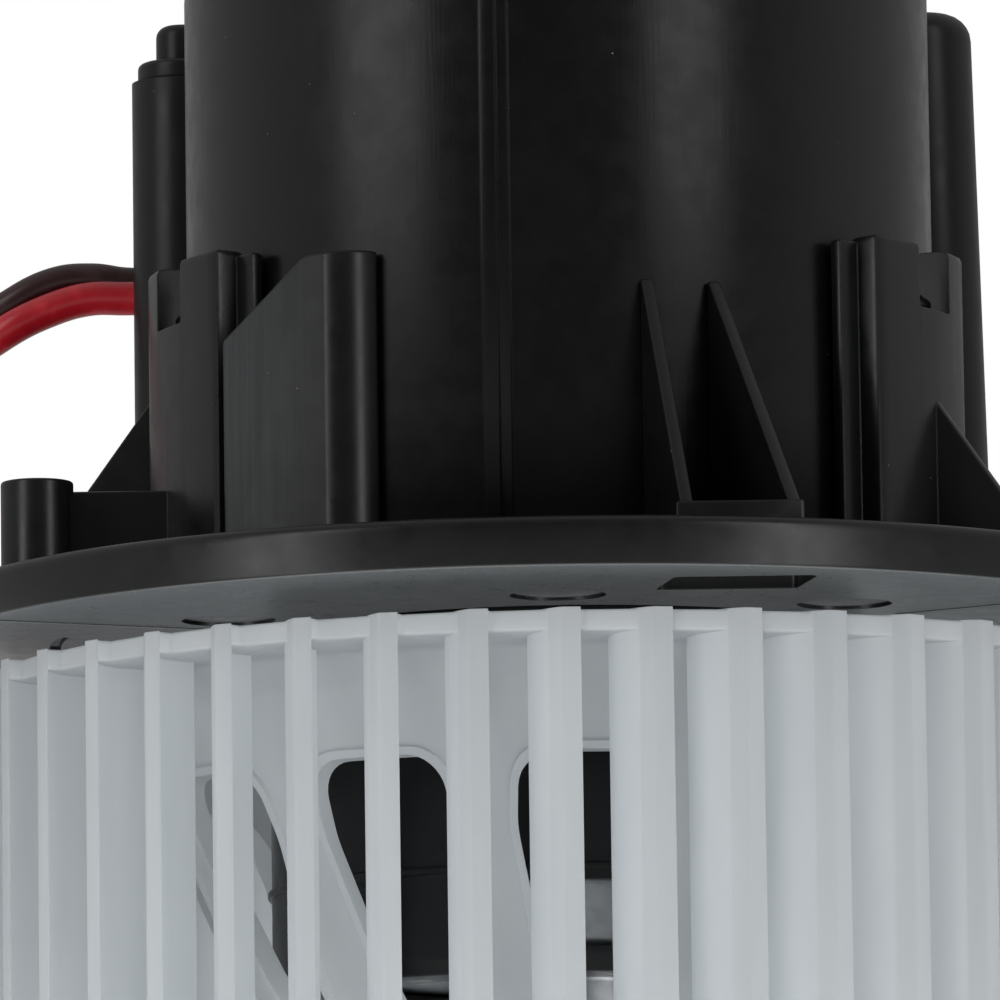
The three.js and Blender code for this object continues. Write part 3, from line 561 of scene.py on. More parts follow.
# ---------- pieces on their bodies ----------
def smooth(piece, angle=32):
    for face in piece.data.polygons:
        face.use_smooth = True
    piece.data.set_sharp_from_angle(angle=math.radians(angle))


def placed(piece, name, slot, nodes, finish=None, body="housing"):
    """Names a finished piece, gives it its material and lets it stand for its CAD nodes."""
    piece.name = name
    piece.data.materials.clear()
    piece.data.materials.append(MATERIALS[finish or slot])
    smooth(piece)
    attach(piece, body)
    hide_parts(*nodes)
    return piece


# ---------- blower wheel ----------
BLADE_CENTRE = (4.22, -66.75)  # of both faces of the blade whose tip is at the front
BLADE_CONVEX = 10.57
BLADE_CONCAVE = 9.1
BLADE_INNER = 63.7
RING_DEPTH = 2.6
RING_INNER = 58.5
RING_LOW = 73.0  # the back ring's edge beside a blade's tip
RING_HIGH = 74.9  # and where it meets the back of the next blade
BELL_WALL = 2.0
TURN_STEPS = 4 * BLADE_COUNT


def meeting_angle(radius, reach):
    """Angle about the blade's centre at which an arc of that radius lies `reach` away from the shaft."""
    centre = Vector(BLADE_CENTRE)
    away = centre.length
    turn = math.acos((radius ** 2 + away ** 2 - reach ** 2) / (2 * radius * away))
    towards_shaft = math.degrees(math.atan2(-centre.y, -centre.x))
    return towards_shaft + math.degrees(turn)


def blade_plan():
    """Both faces are arcs; the tip is trimmed by the wheel's outer circle and the root is round."""
    tip_land = meeting_angle(BLADE_CONVEX, WHEEL_RADIUS)
    tip_line = meeting_angle(BLADE_CONCAVE, WHEEL_RADIUS - 0.15)
    root = meeting_angle(BLADE_CONVEX, BLADE_INNER)
    convex = arc(BLADE_CENTRE, BLADE_CONVEX, root, tip_land, 18)
    concave = arc(BLADE_CENTRE, BLADE_CONCAVE, tip_line, root, 18)
    back = [(*point, 0) for point in convex[1:-1]]
    face = [(*point, 0) for point in concave[1:-1]]
    return rounded([
        *back, (*convex[-1], 0.5), (*concave[0], 0.12),
        *face, (*concave[-1], 0.5), (*convex[0], 0.5),
    ], 0, 4)


def blade(index):
    body = softened(prism("blade", blade_plan(), WHEEL_BOTTOM + 0.2, WHEEL_TOP), 0.2)
    return moved(body, azimuth=FIRST_BLADE + index * PITCH)


def back_ring():
    """Its outer edge swings outwards from each blade's tip to the back of the next blade."""
    outline = []
    steps = 6
    for index in range(BLADE_COUNT):
        for step in range(steps):
            share = step / (steps - 1)
            radius = RING_LOW + (RING_HIGH - RING_LOW) * share ** 3
            azimuth = FIRST_BLADE + (index + 0.98 * share) * PITCH
            outline.append(tuple(spot(radius, azimuth))[:2])
    disc = softened(prism("ring", outline, WHEEL_TOP - RING_DEPTH, WHEEL_TOP - 0.1), 0.3, 3)
    return cut(disc, rod("hole", RING_INNER, WHEEL_TOP - 20, WHEEL_TOP + 20, segments=TURN_STEPS))


HUB_RADIUS = 11.0
HUB_BORE = 6.3
HUB_TOP = -53.2
HUB_BOTTOM = -66.0
BELL_LOW = -60.5  # the bell's outer surface meets the hub here
RING_BOTTOM = WHEEL_TOP - RING_DEPTH
# Outer surface of the bell from the back ring down to the hub: radius, height, radius of the bend.
BELL = [
    (66, RING_BOTTOM + 0.6, 0), (66, RING_BOTTOM), (60.2, RING_BOTTOM, 3), (56, -10.4, 4),
    (40.5, -43.5, 12), (34.5, -52, 8), (26, -57.2, 8),
    (HUB_RADIUS, BELL_LOW, 2), (HUB_RADIUS, HUB_BOTTOM, 0.6),
]


def bell_profile(lift):
    """Half outline of the bell's wall, `lift` thicker than plain on its outer side."""
    outer = [(radius + lift, z - lift * 0.5, *bend) for radius, z, *bend in BELL]
    inner = [
        (HUB_BORE, HUB_BOTTOM - lift, 0), (HUB_BORE, HUB_TOP, 0.4), (HUB_RADIUS, HUB_TOP, 1),
        (HUB_RADIUS, BELL_LOW + BELL_WALL, 1), (25.4, -55.3, 8), (33, -50.4, 8),
        (40.5 - BELL_WALL, -42.6, 12), (56 - BELL_WALL, -9.4, 4), (RING_INNER, WHEEL_TOP - 0.6, 0),
    ]
    return rounded(outer + inner, 1.0, 5)


WINDOW_COUNT = 12
FIRST_WINDOW = 3.0  # azimuth of one cooling window
WINDOW_TOP = -18.8
WINDOW_WIDEST = -27.5
WINDOW_BOTTOM = -53.0
WINDOW_HALF = 8.8
WINDOW_LOW_HALF = 3.2
WINDOW_REACH = (22, 62)  # distances from the axis between which the windows are cut


def window_plan(margin):
    """Petal outline in (x, z): wide with round shoulders at the top, narrow and round towards the hub."""
    wide, narrow = WINDOW_HALF + margin, WINDOW_LOW_HALF + margin
    right = [
        (narrow, WINDOW_BOTTOM - margin, 2.5 + margin), (wide, WINDOW_WIDEST, 14),
        (wide, WINDOW_TOP + margin, 6 + margin),
    ]
    left = [(-x, z, bend) for x, z, bend in reversed(right)]
    return rounded(left + right, 1, 8)


def window_tools(margin):
    tools = []
    for index in range(WINDOW_COUNT):
        sections = [[(x, -reach, z) for x, z in window_plan(margin)] for reach in WINDOW_REACH]
        tools.append(moved(loft("window", sections), azimuth=FIRST_WINDOW + index * 360 / WINDOW_COUNT))
    return gathered(tools)


def wheel():
    bell = turned("bell", bell_profile(0), TURN_STEPS)
    rims = combined(turned("rims", bell_profile(0.55), TURN_STEPS), "INTERSECT", [window_tools(1.0)])
    bell = cut(joined(bell, rims), window_tools(0))
    blades = gathered([blade(index) for index in range(BLADE_COUNT)])
    inner, outer = WHEEL_RADIUS - 1.6, WHEEL_RADIUS + HOOP_PROUD
    hoop = ring("hoop", inner, outer, WHEEL_BOTTOM, WHEEL_BOTTOM + HOOP_HEIGHT, 0.6, TURN_STEPS)
    return joined(bell, back_ring(), hoop, blades)


placed(wheel(), "wheel_moulding", "wheel_plastic", ["blower_wheel"], body="rotor")


def bush():
    return ring("bush", SHAFT_RADIUS + 0.12, 6.25, -66.2, -53.4, 0.4, 64)


def end_clip():
    disc = softened(ring("clip", SHAFT_RADIUS + 0.12, 8.4, -67.2, -66.3, 0, 64), 0.15)
    notches = [moved(block("notch", (4.6, -1, -68), (6.6, 1, -66)), azimuth=third) for third in THIRDS]
    return cut(disc, *notches)


def shaft():
    return rod("shaft", SHAFT_RADIUS, low("motor_shaft").z, high("motor_shaft").z, 0.6, 64)


placed(bush(), "bush_sleeve", "brass", ["hub_bush"], body="rotor")
placed(end_clip(), "end_clip", "bright_steel", ["wheel_clip"], body="rotor")
placed(shaft(), "shaft_rod", "bright_steel", ["motor_shaft"], body="rotor")

# ---------- mounting flange ----------
TOWER_INNER = 48.2
# Each side has a front tower and a thinner one behind it, and a snap hook of the cover in the slot of each.
# Their azimuths are counted from the plane of symmetry.
FRONT_TOWER = {"start": 50.4, "end": 76.0, "outer": 52.6, "slot": 64.9}
BACK_TOWER = {"start": 88.0, "end": 118.0, "outer": 50.2, "slot": 104.0}
LIP_START = 46.7
LIP_INNER = 47.8
LIP_OUTER = 49.6
LIP_TOP = TOWER_TOP - 0.6
SLOT_HALF_ANGLE = 4.6
SLOT_BOTTOM = 38.0
OPENING_RADIUS = 40.5


def flange_plate():
    rim_inner = FLANGE_RADIUS - RIM_WALL
    corners = [
        (OPENING_RADIUS, 0, 0.6), (FLANGE_RADIUS - RIM_DRAFT, 0, 0.5), (FLANGE_RADIUS, RIM_TOP, 1.6),
        (rim_inner, RIM_TOP, 0.5), (rim_inner, PLATE, 0.8), (OPENING_RADIUS, PLATE, 0.5),
    ]
    return turned("plate", rounded(corners, 0.5, 5), 256)


def mirrored(side, start, end):
    return sorted((TURN + side * start, TURN + side * end))


def tower(side, start, end, outer, slot):
    wall = arc_wall("tower", TOWER_INNER, outer, *mirrored(side, start, end), PLATE - 1, TOWER_TOP, 0.8)
    ends = mirrored(side, slot - SLOT_HALF_ANGLE, slot + SLOT_HALF_ANGLE)
    return cut(wall, arc_wall("slot", 46, outer + 3, *ends, SLOT_BOTTOM, TOWER_TOP + 2, 0.4))


def towers():
    parts = []
    for side in (-1, 1):
        ends = mirrored(side, LIP_START, FRONT_TOWER["start"] + 1)
        lip = arc_wall("lip", LIP_INNER, LIP_OUTER, *ends, PLATE - 1, LIP_TOP, 0.5)
        parts += [joined(tower(side, **FRONT_TOWER), lip), tower(side, **BACK_TOWER)]
    return parts


def shield():
    """A flat screen in front of the cover: its upper left corner is cut off, its right side rolled back."""
    back = -COVER_RADIUS - 2 * GAP
    end = SHIELD_ROLL - SHIELD_FRONT - back  # how far the roll's end lies in front of its centre
    turn = math.degrees(math.asin(end / SHIELD_ROLL))
    inner_turn = math.degrees(math.asin(end / (SHIELD_ROLL - SHIELD_WALL)))
    centre = (SHIELD_RIGHT - SHIELD_ROLL * math.cos(math.radians(turn)), SHIELD_ROLL - SHIELD_FRONT)
    plan = [(SHIELD_LEFT, SHIELD_WALL - SHIELD_FRONT), (SHIELD_LEFT, -SHIELD_FRONT)]
    plan += arc(centre, SHIELD_ROLL, -90, -turn, 16)
    plan += arc(centre, SHIELD_ROLL - SHIELD_WALL, -inner_turn, -90, 10)
    face = rounded([
        (SHIELD_LEFT - 1, 0, 0), (SHIELD_RIGHT + 1, 0, 0), (SHIELD_RIGHT + 1, SHIELD_TOP, 0),
        (SHIELD_RIGHT, SHIELD_TOP, 1.2), (-6.1, SHIELD_TOP - 0.4, 3), (SHIELD_LEFT, 33.6, 1.2),
        (SHIELD_LEFT - 1, 32.6, 0),
    ], 0)
    tool = loft("face", [[(x, y, z) for x, z in face] for y in (back - 10, back + 5)])
    body = combined(prism("shield", plan, PLATE - 1, SHIELD_TOP + 6), "INTERSECT", [tool])
    return moved(softened(body, 0.4, 3), azimuth=SHIELD_AZIMUTH)


FIN_AZIMUTHS = (12.5, 22.8)
FIN_FOOT = 65.0  # distance of the fins' feet in front of the axis
FIN_TOP = 39.0
FIN_WALL = 1.6
FIN_EDGE = 0.35


def support_fins():
    """Two fins that carry the cover, and the strip that ties their feet."""
    root = COVER_RADIUS + GAP
    parts = []
    for azimuth in FIN_AZIMUTHS:
        foot = FIN_FOOT / math.cos(math.radians(azimuth))
        slope = [(foot, 1, 0), (foot, 9, 0.5), (root + 0.6, FIN_TOP, 0.5)]
        outline = rounded([(root, 1, 0), *slope, (root, FIN_TOP, 0)], 0.4)
        parts.append(board("fin", outline, azimuth, FIN_WALL, FIN_EDGE))
    parts.append(block("foot", (13, -FIN_FOOT - 1, PLATE - 1), (28.3, -FIN_FOOT + 0.6, 9.3), 0.4))
    return parts


def gusset(azimuth, start, top, reach, toe):
    """A triangular fin on the outside of a tower, `toe` high at its outer end."""
    outline = rounded([(start, 1, 0), (reach, 1, 0), (reach, toe, 0.5), (start, top, 0)], 0.4)
    return board("gusset", outline, azimuth, FIN_WALL, FIN_EDGE)


BOSS_AZIMUTHS = (-71.2, 108.8, 171)
BOSS_PLACE = 68.7
BOSS_TOP = 18.5
WEB_NEAR = 3.0  # the web lies this far behind the post's axis
WEB_FAR = 5.0
WEB_TOP = 17.7
WEB_END = 46.0  # x of the web's end, inside the tower's wall


def screw_boss(azimuth):
    """A post for a tapping screw. The two beside the towers are tied to them by a web along X."""
    place = spot(BOSS_PLACE, azimuth)
    post = rod("post", 4.5, 1, BOSS_TOP, 0.4, 48, place)
    if abs(place.x) > WEB_END:
        across_x = sorted((place.x, math.copysign(WEB_END, place.x)))
        across_y = sorted(place.y - math.copysign(reach, place.y) for reach in (WEB_NEAR, WEB_FAR))
        web = block("web", (across_x[0], across_y[0], 1), (across_x[1], across_y[1], WEB_TOP), 0.4)
        post = joined(post, web)
    return cut(post, rod("pilot", 1.4, 8, BOSS_TOP + 1, 0, 32, place))


LUG_AZIMUTHS = (-100, 100, 180)
LUG_PLACE = 87.0
LUG_TOP = 4.0
LUG_HALF = 8.0


def lug(azimuth):
    root = -FLANGE_RADIUS + 3
    outline = [(LUG_HALF, root), (-LUG_HALF, root), *arc((0, -LUG_PLACE), LUG_HALF, 180, 360, 24)]
    tab = softened(prism("lug", outline, 0, LUG_TOP), 0.5, 3)
    hole = rod("hole", 2.75, -1, LUG_TOP + 1, 0, 48, (0, -LUG_PLACE))
    return moved(cut(tab, hole), azimuth=azimuth)


def underside_ridge(azimuth):
    sections = []
    for radius in (49.0, FLANGE_RADIUS - 1.5):
        x_line = [(-0.45, 0.5), (-0.45, -0.12), (0, -0.3), (0.45, -0.12), (0.45, 0.5)]
        sections.append([(x, -radius, z) for x, z in x_line])
    return moved(loft("ridge", sections), azimuth=azimuth)


DUCT_INLETS = ((-38, 46), (38, 46))
DUCT_SCREWS = ((-48.5, 34.5), (48.5, 34.5))
SCREW_HEAD = 3.4


ROUND_POCKETS = (-54, -1.2, 41.5)  # azimuths
SKEWED_POCKET = [(12.7, -67), (29.8, -67), (27.5, -54.4), (10.5, -54.4)]
GROOVE = (-89.5, -76.5)  # azimuths of its ends


def underside_tools():
    """What is cut into the flange from below."""
    tools = []
    for azimuth in ROUND_POCKETS:
        tools.append(softened(rod("pocket", 5.8, -2, 0.6, 0, 48, spot(51, azimuth)), 0.3))
    tools.append(softened(prism("pocket", rounded(SKEWED_POCKET, 1), -2, 2), 0.4))
    tools += [rod("inlet", 6, -1, PLATE + 1, 0, 48, place) for place in DUCT_INLETS]
    for place in DUCT_SCREWS:
        tools.append(rod("recess", SCREW_HEAD + GAP, -1, 1.7, 0, 48, place))
        tools.append(rod("hole", 1.8, -1, PLATE + 1, 0, 32, place))
    tools.append(arc_wall("groove", 63.2, 64.6, *GROOVE, -1, 0.8, 0.3))
    return tools


def flange():
    body = flange_plate()
    parts = [ring("spigot", 42.8, 44.4, PLATE - 1, 9, 0.4, 128), *towers(), shield(), *support_fins()]
    parts.append(gusset(61.9, start=51, top=28.8, reach=67.4, toe=6))
    parts.append(gusset(-92, start=49.2, top=35.3, reach=68.4, toe=8.6))
    parts += [screw_boss(azimuth) for azimuth in BOSS_AZIMUTHS]
    parts += [lug(azimuth) for azimuth in LUG_AZIMUTHS]
    parts += [underside_ridge(azimuth) for azimuth in (-64, 56, 176)]
    return cut(joined(body, *parts), *underside_tools())


placed(flange(), "flange_moulding", "black_plastic", ["mounting_flange"], "flange_plastic")

# ---------- motor cover ----------
COVER_EDGE = 5.0
HOOK_BOTTOM = SLOT_BOTTOM + 2 * GAP
HOOK_TOP = 43.0
HOOK_WIDTH = 6.0
AIR_WINDOW_HALF = 13.0
AIR_WINDOW_Z = (57.0, 73.0)


def snap_hook(azimuth, nose):
    root = COVER_RADIUS - 1
    tip = [(nose, HOOK_BOTTOM, 0.4), (nose, HOOK_BOTTOM + 0.9, 1)]
    outline = rounded([(root, HOOK_BOTTOM, 0), *tip, (root, HOOK_TOP, 0)], 0)
    return board("hook", outline, azimuth, HOOK_WIDTH, 0.3)


def air_window():
    bottom, top = AIR_WINDOW_Z
    return block("air", (-AIR_WINDOW_HALF, 40, bottom), (AIR_WINDOW_HALF, 52, top))


def cover_rib(proud, azimuth, width, edge):
    root = COVER_RADIUS - WALL + 1
    face = COVER_RADIUS + proud
    top = COVER_TOP - 6
    outline = [(root, COVER_BOTTOM, 0), (face, COVER_BOTTOM, 0), (face, top, 0.2), (root, top, 0)]
    return board("rib", rounded(outline, 0), azimuth, width, edge)


def cover():
    inner = COVER_RADIUS - WALL
    profile = rounded([
        (inner, COVER_BOTTOM, 0.3), (COVER_RADIUS, COVER_BOTTOM, 0.4),
        (COVER_RADIUS, COVER_TOP, COVER_EDGE), (0, COVER_TOP, 0),
        (0, COVER_TOP - WALL, 0), (inner, COVER_TOP - WALL, 3),
    ], 0.3, 8)
    shell = turned("shell", profile, 256)
    ribs = [cover_rib(0.7, -10.6, 2.1, 0.45), cover_rib(0.25, -8.7, 1.8, 0.2)]
    hooks = []
    for side in (-1, 1):
        hooks.append(snap_hook(TURN + side * FRONT_TOWER["slot"], FRONT_TOWER["outer"] - 2))
        hooks.append(snap_hook(TURN + side * BACK_TOWER["slot"], BACK_TOWER["outer"] - 0.6))
    return cut(joined(shell, *ribs, *hooks), air_window())


placed(cover(), "cover_shell", "black_plastic", ["motor_cover"], "cover_plastic")

# ---------- cooling duct ----------
DUCT_BOTTOM = COVER_BOTTOM
DUCT_CORNER = 9.0
DUCT_FRONT_CORNER = 6.5
DUCT_DRAFT = 0.00018  # share of the width that its right side loses per millimetre of height
BEYOND = 80.0  # past every side of the duct
GROMMET_Y = 43.1
GROMMET_Z = 52.35
GROMMET_HALF = (5.6, 6.0)


def duct_prism(levels):
    """An upright of the duct's plan through levels of (inset, z), kept clear of the cover."""
    sections = []
    for inset, z in levels:
        left, front, back = DUCT_LEFT + inset, DUCT_FRONT + inset, DUCT_BACK - inset
        right = DUCT_LEFT + (DUCT_RIGHT - inset - DUCT_LEFT) * (1 - DUCT_DRAFT * (z - DUCT_BOTTOM))
        blunt, corner = max(0.5, DUCT_FRONT_CORNER - inset), max(0.5, DUCT_CORNER - inset)
        corners = [(left, front, blunt), (right, front, blunt), (right, back, corner), (left, back, corner)]
        sections.append([(x, y, z) for x, y in rounded(corners, 0, 10)])
    clear = COVER_RADIUS + 2 * GAP + levels[0][0]
    return cut(loft("duct", sections), rod("clear", clear, levels[0][1] - 1, levels[-1][1] + 1, 0, 192))


def domed(inset, bottom, top, edge):
    """Levels of an upright whose top edge is rounded."""
    edge_arc = arc((edge, top - edge), edge, 180, 90, 6)
    return [(inset, bottom)] + [(inset + inwards, z) for inwards, z in edge_arc]


def beside_lid_end(piece, side, gap):
    """Keeps what lies to one side of the lid's inner end, above the seam: -1 is the lid's side."""
    plane = LID_END + GAP + side * gap
    start, end = (plane, BEYOND) if side < 0 else (-BEYOND, plane)
    return cut(piece, block("beside", (start, 0, DUCT_SEAM), (end, BEYOND, DUCT_TOP + 10)))


def grommet_prism(margin, start, end, edge=0.0):
    """The oval of the wire entry, run along X through the duct's side."""
    outline = oval(GROMMET_HALF[0] + margin, GROMMET_HALF[1] + margin, 12)
    sections = [[(x, GROMMET_Y + across, GROMMET_Z + up) for across, up in outline] for x in (start, end)]
    return softened(loft("entry", sections), edge, 3)


def duct():
    shell = beside_lid_end(duct_prism(domed(0, DUCT_BOTTOM, DUCT_TOP, 3.5)), 1, 0)
    cavity = beside_lid_end(duct_prism([(WALL, DUCT_BOTTOM - 1), (WALL, DUCT_TOP - WALL)]), 1, WALL)
    right_half = block("half", (LID_END, 0, DUCT_SEAM - 2), (BEYOND, BEYOND, DUCT_SEAM + 2))
    mouth = cut(duct_prism([(WALL, DUCT_SEAM - 1), (WALL, DUCT_SEAM + 1)]), right_half)
    shell = softened(cut(shell, cavity, mouth), 0.3)
    posts = [rod("post", 3.6, DUCT_BOTTOM, 20, 0, 32, place) for place in DUCT_SCREWS]
    holes = [rod("thread", 1.6, DUCT_BOTTOM - 1, 17, 0, 24, place) for place in DUCT_SCREWS]
    return cut(joined(shell, *posts), *holes, air_window(), grommet_prism(0, -60, -48))


def lid():
    step = duct_prism(domed(0.8, LID_BOTTOM, LID_BOTTOM + 2.4, 0.8))
    crown = duct_prism(domed(3.2, LID_BOTTOM, DUCT_TOP, 1.6))
    cavity = duct_prism([(3.2 + WALL, LID_BOTTOM - 1), (3.2 + WALL, DUCT_TOP - WALL)])
    solid = beside_lid_end(joined(step, crown), -1, GAP)
    return cut(solid, beside_lid_end(cavity, -1, GAP + WALL))


placed(duct(), "duct_shell", "duct_plastic", ["cooling_duct"])
placed(lid(), "duct_cap", "duct_plastic", ["duct_lid"])


# ---------- leads and plug ----------
WIRE_ENTRIES = ((41, 51.1), (45.2, 53.6))  # y and z of the red and the dark lead in the duct's side
# Each path runs from its terminal to the wall of the duct, down beside the wheel and into the plug.
RED_PATH = [
    (-8, 18, 61.6), (-8, 18.2, 64), (-8, 22, 66.4), (-8, 36, 63), (-10, 50, 60.5), (-20, 52.5, 59),
    (-34, 48, 54), (-42, 42.5, 51.8), (-48, 41, 51.1), (-56.5, 41, 51.1),
    (-61, 41, 51.1), (-66, 41, 49.8), (-72.8, 41, 46.4), (-90, 50, 34), (-99, 66, 14),
    (-92, 88, -4), (-72, 100, -9), (-46, 100, -8.5), (-37, 100, -16), (-34, 100, -23),
    (-29, 100, -26.4), (-25, 100, -26.6), (-21.5, 100, -26.6),
]
DARK_PATH = [
    (8, 18, 61.6), (8, 18.2, 64), (8, 22, 67.6), (6, 36, 69), (-4, 49, 68.5), (-20, 52.5, 65.5),
    (-34, 49.8, 60.4), (-42, 47, 55.9), (-48, 45.4, 53.7), (-56.5, 45.2, 53.7),
    (-61, 45.2, 54.3), (-66, 45.2, 53.8), (-73, 45.2, 50.2), (-92, 51, 39), (-104, 67, 15),
    (-96, 92, -1), (-73, 105, -4.5), (-42, 103, -4), (-33, 100.5, -11), (-30.5, 100, -18),
    (-27.5, 100, -21), (-25, 100, -21.4), (-21.5, 100, -21.4),
]


def lead(path):
    curve = bpy.data.curves.new("lead", "CURVE")
    curve.dimensions = "3D"
    curve.bevel_depth = WIRE_RADIUS * MM
    curve.bevel_resolution = 7
    curve.resolution_u = 10
    curve.use_fill_caps = True
    spline = curve.splines.new("BEZIER")
    spline.bezier_points.add(len(path) - 1)
    for point, place in zip(spline.bezier_points, path):
        point.co = (Vector(place) + SEAT) * MM
        point.handle_left_type = "AUTO"
        point.handle_right_type = "AUTO"
    piece = in_scene("lead", curve)
    mesh = bpy.data.meshes.new_from_object(piece.evaluated_get(bpy.context.evaluated_depsgraph_get()))
    bpy.data.objects.remove(piece)
    return cleaned(in_scene("lead", mesh))


def wire_hole(y, z, start, end):
    """A round tool along X for a lead to pass through."""
    outline = arc((y, z), WIRE_RADIUS + WIRE_GAP, 0, 345, 23)
    return loft("hole", [[(x, across, up) for across, up in outline] for x in (start, end)])


def entry_grommet():
    inner = DUCT_LEFT + WALL
    plug = grommet_prism(-0.15, DUCT_LEFT + 0.1, inner + 1.2, 0.2)
    collar = grommet_prism(0.9, inner + 0.2, inner + 1.2, 0.2)
    return cut(joined(plug, collar), *[wire_hole(y, z, -62, -46) for y, z in WIRE_ENTRIES])


PLUG_START = low("plug_housing").x
PLUG_END = high("plug_housing").x
PLUG_Y = (low("plug_housing").y + high("plug_housing").y) / 2
PLUG_HALF = (high("plug_housing").y - low("plug_housing").y) / 2
PLUG_BOTTOM = low("plug_housing").z
LATCH_HEIGHT = 1.6
PLUG_TOP = high("plug_housing").z - LATCH_HEIGHT
CONTACT_HEIGHTS = (-26.6, -21.4)


def plug_block(name, start, end, half_width, bottom, top, edge=0.0):
    """A block in the plug's middle, from one distance behind the plug's wire end to another."""
    near = (PLUG_START + start, PLUG_Y - half_width, bottom)
    far = (PLUG_START + end, PLUG_Y + half_width, top)
    return block(name, near, far, edge)


def plug():
    length = PLUG_END - PLUG_START
    wall = 1.4
    body = plug_block("plug", 0, length, PLUG_HALF, PLUG_BOTTOM, PLUG_TOP, 0.8)
    latch = plug_block("latch", 6, 20, 3, PLUG_TOP - 0.5, PLUG_TOP + LATCH_HEIGHT, 0.5)
    bottom, top = PLUG_BOTTOM + wall, PLUG_TOP - wall
    tools = [plug_block("mouth", 8, length + 1, PLUG_HALF - wall, bottom, top, 0.3)]
    for z in CONTACT_HEIGHTS:
        tools.append(wire_hole(PLUG_Y, z, PLUG_START - 3, PLUG_START + 7))
        tools.append(plug_block("slit", 6, 9, 1.6, z - 0.5, z + 0.5))
    return cut(joined(body, latch), *tools)


placed(lead(RED_PATH), "red_lead", "red_sheath", ["red_wire"])
placed(lead(DARK_PATH), "dark_lead", "dark_sheath", ["dark_wire"])
placed(entry_grommet(), "entry_grommet", "rubber", ["wire_grommet"])
placed(plug(), "plug_shell", "plug_plastic", ["plug_housing"])

# ---------- motor cradle, yoke and small steel parts ----------
CRADLE_HOLE = 26.0  # radius of the hole in its floor
CRADLE_LIP_BOTTOM = 4.7
CRADLE_WINDOW_HALF = 12.0
CRADLE_WINDOW_Z = (-41.0, -33.0)
CRADLE_BANDS = (-31.8, -15.0)


def cradle():
    inner = CRADLE_RADIUS - 1.8
    profile = rounded([
        (CRADLE_HOLE, CRADLE_BOTTOM, 0.5), (CRADLE_RADIUS - 1.5, CRADLE_BOTTOM, 0.8),
        (CRADLE_RADIUS, CRADLE_BOTTOM + 2, 0.8), (CRADLE_RADIUS, CRADLE_LIP_BOTTOM, 0.6),
        (CRADLE_LIP, CRADLE_LIP_BOTTOM, 0.4), (CRADLE_LIP, CRADLE_TOP, 0.4), (inner, CRADLE_TOP, 0.4),
        (inner, CRADLE_BOTTOM + 1.6, 0.6), (CRADLE_HOLE, CRADLE_BOTTOM + 1.6, 0.4),
    ], 0.4)
    cup = turned("cup", profile, 144)
    bottom, top = CRADLE_WINDOW_Z
    tools = []
    for third in THIRDS:
        start = 3 + third - CRADLE_WINDOW_HALF
        tools.append(arc_wall("window", 34, 40, start, start + 2 * CRADLE_WINDOW_HALF, bottom, top, 0.4))
        panel = third - 17
        tools.append(arc_wall("panel", CRADLE_RADIUS - 0.8, 40, panel - 5, panel + 5, -33, -19.5, 0.7))
    bands = []
    for z in CRADLE_BANDS:
        bands.append(ring("band", CRADLE_RADIUS - 0.5, CRADLE_RADIUS + 0.5, z, z + 0.9, 0.2, 144))
    return joined(cut(cup, *tools), *bands)


def yoke():
    floor = YOKE_NOSE + 8
    profile = rounded([
        (7.2, YOKE_NOSE, 0.3), (9, YOKE_NOSE, 0.8), (9, floor, 1), (YOKE_RADIUS, floor, 2.4),
        (YOKE_RADIUS, YOKE_TOP, 0.4), (YOKE_RADIUS - 2, YOKE_TOP, 0.3), (YOKE_RADIUS - 2, floor + 2, 1.5),
        (7.2, floor + 2, 0.3),
    ], 0.4)
    return turned("yoke", profile, 144)


def spring_clip(third):
    """A bent steel strip that hooks over the wall of the cradle."""
    outline = rounded([
        (37.5, -40.5), (38.1, -40.5), (38.1, -34.5, 0.5), (33.3, -34.5), (33.3, -35.1), (37.5, -35.1, 0.2),
    ], 0.15)
    return board("clip", outline, -6.5 + third, 2.0, 0.12)


def case_screw(place):
    """A pan-head screw whose head faces down, with a cross recess and a thread."""
    head = rounded([
        (0, 0.1, 0), (2.4, 0.1, 1), (SCREW_HEAD, 0.7, 0.4), (SCREW_HEAD, 1.4, 0.2), (1.2, 1.4, 0),
        (1.2, 14, 0), (0, 15.5, 0),
    ], 0.2, 3)
    threads = [turned("thread", [(1.0, z), (1.5, z + 0.45), (1.0, z + 0.9)], 32) for z in range(2, 14)]
    cross = [moved(block("cross", (-1.6, -0.3, -1), (1.6, 0.3, 0.8)), azimuth=turn) for turn in (0, 90)]
    return moved(cut(joined(turned("screw", head, 48), *threads), *cross), (*place, 0))


placed(cradle(), "cradle_cup", "black_plastic", ["motor_cradle"])
placed(yoke(), "yoke_can", "yoke_steel", ["motor_yoke"])
for number, third in enumerate(THIRDS, 1):
    placed(spring_clip(third), f"spring_clip_{number}", "bright_steel", [f"yoke_clip_{number}"])
for number, place in enumerate(DUCT_SCREWS, 1):
    placed(case_screw(place), f"case_screw_{number}", "bright_steel", [f"duct_screw_{number}"])

# ---------- CAD nodes that no piece stands for ----------
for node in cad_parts.values():
    if node.hide_render:
        continue
    slot = node.data.materials[0].name
    node.data.materials.clear()
    node.data.materials.append(MATERIALS[slot])
    smooth(node, 40)


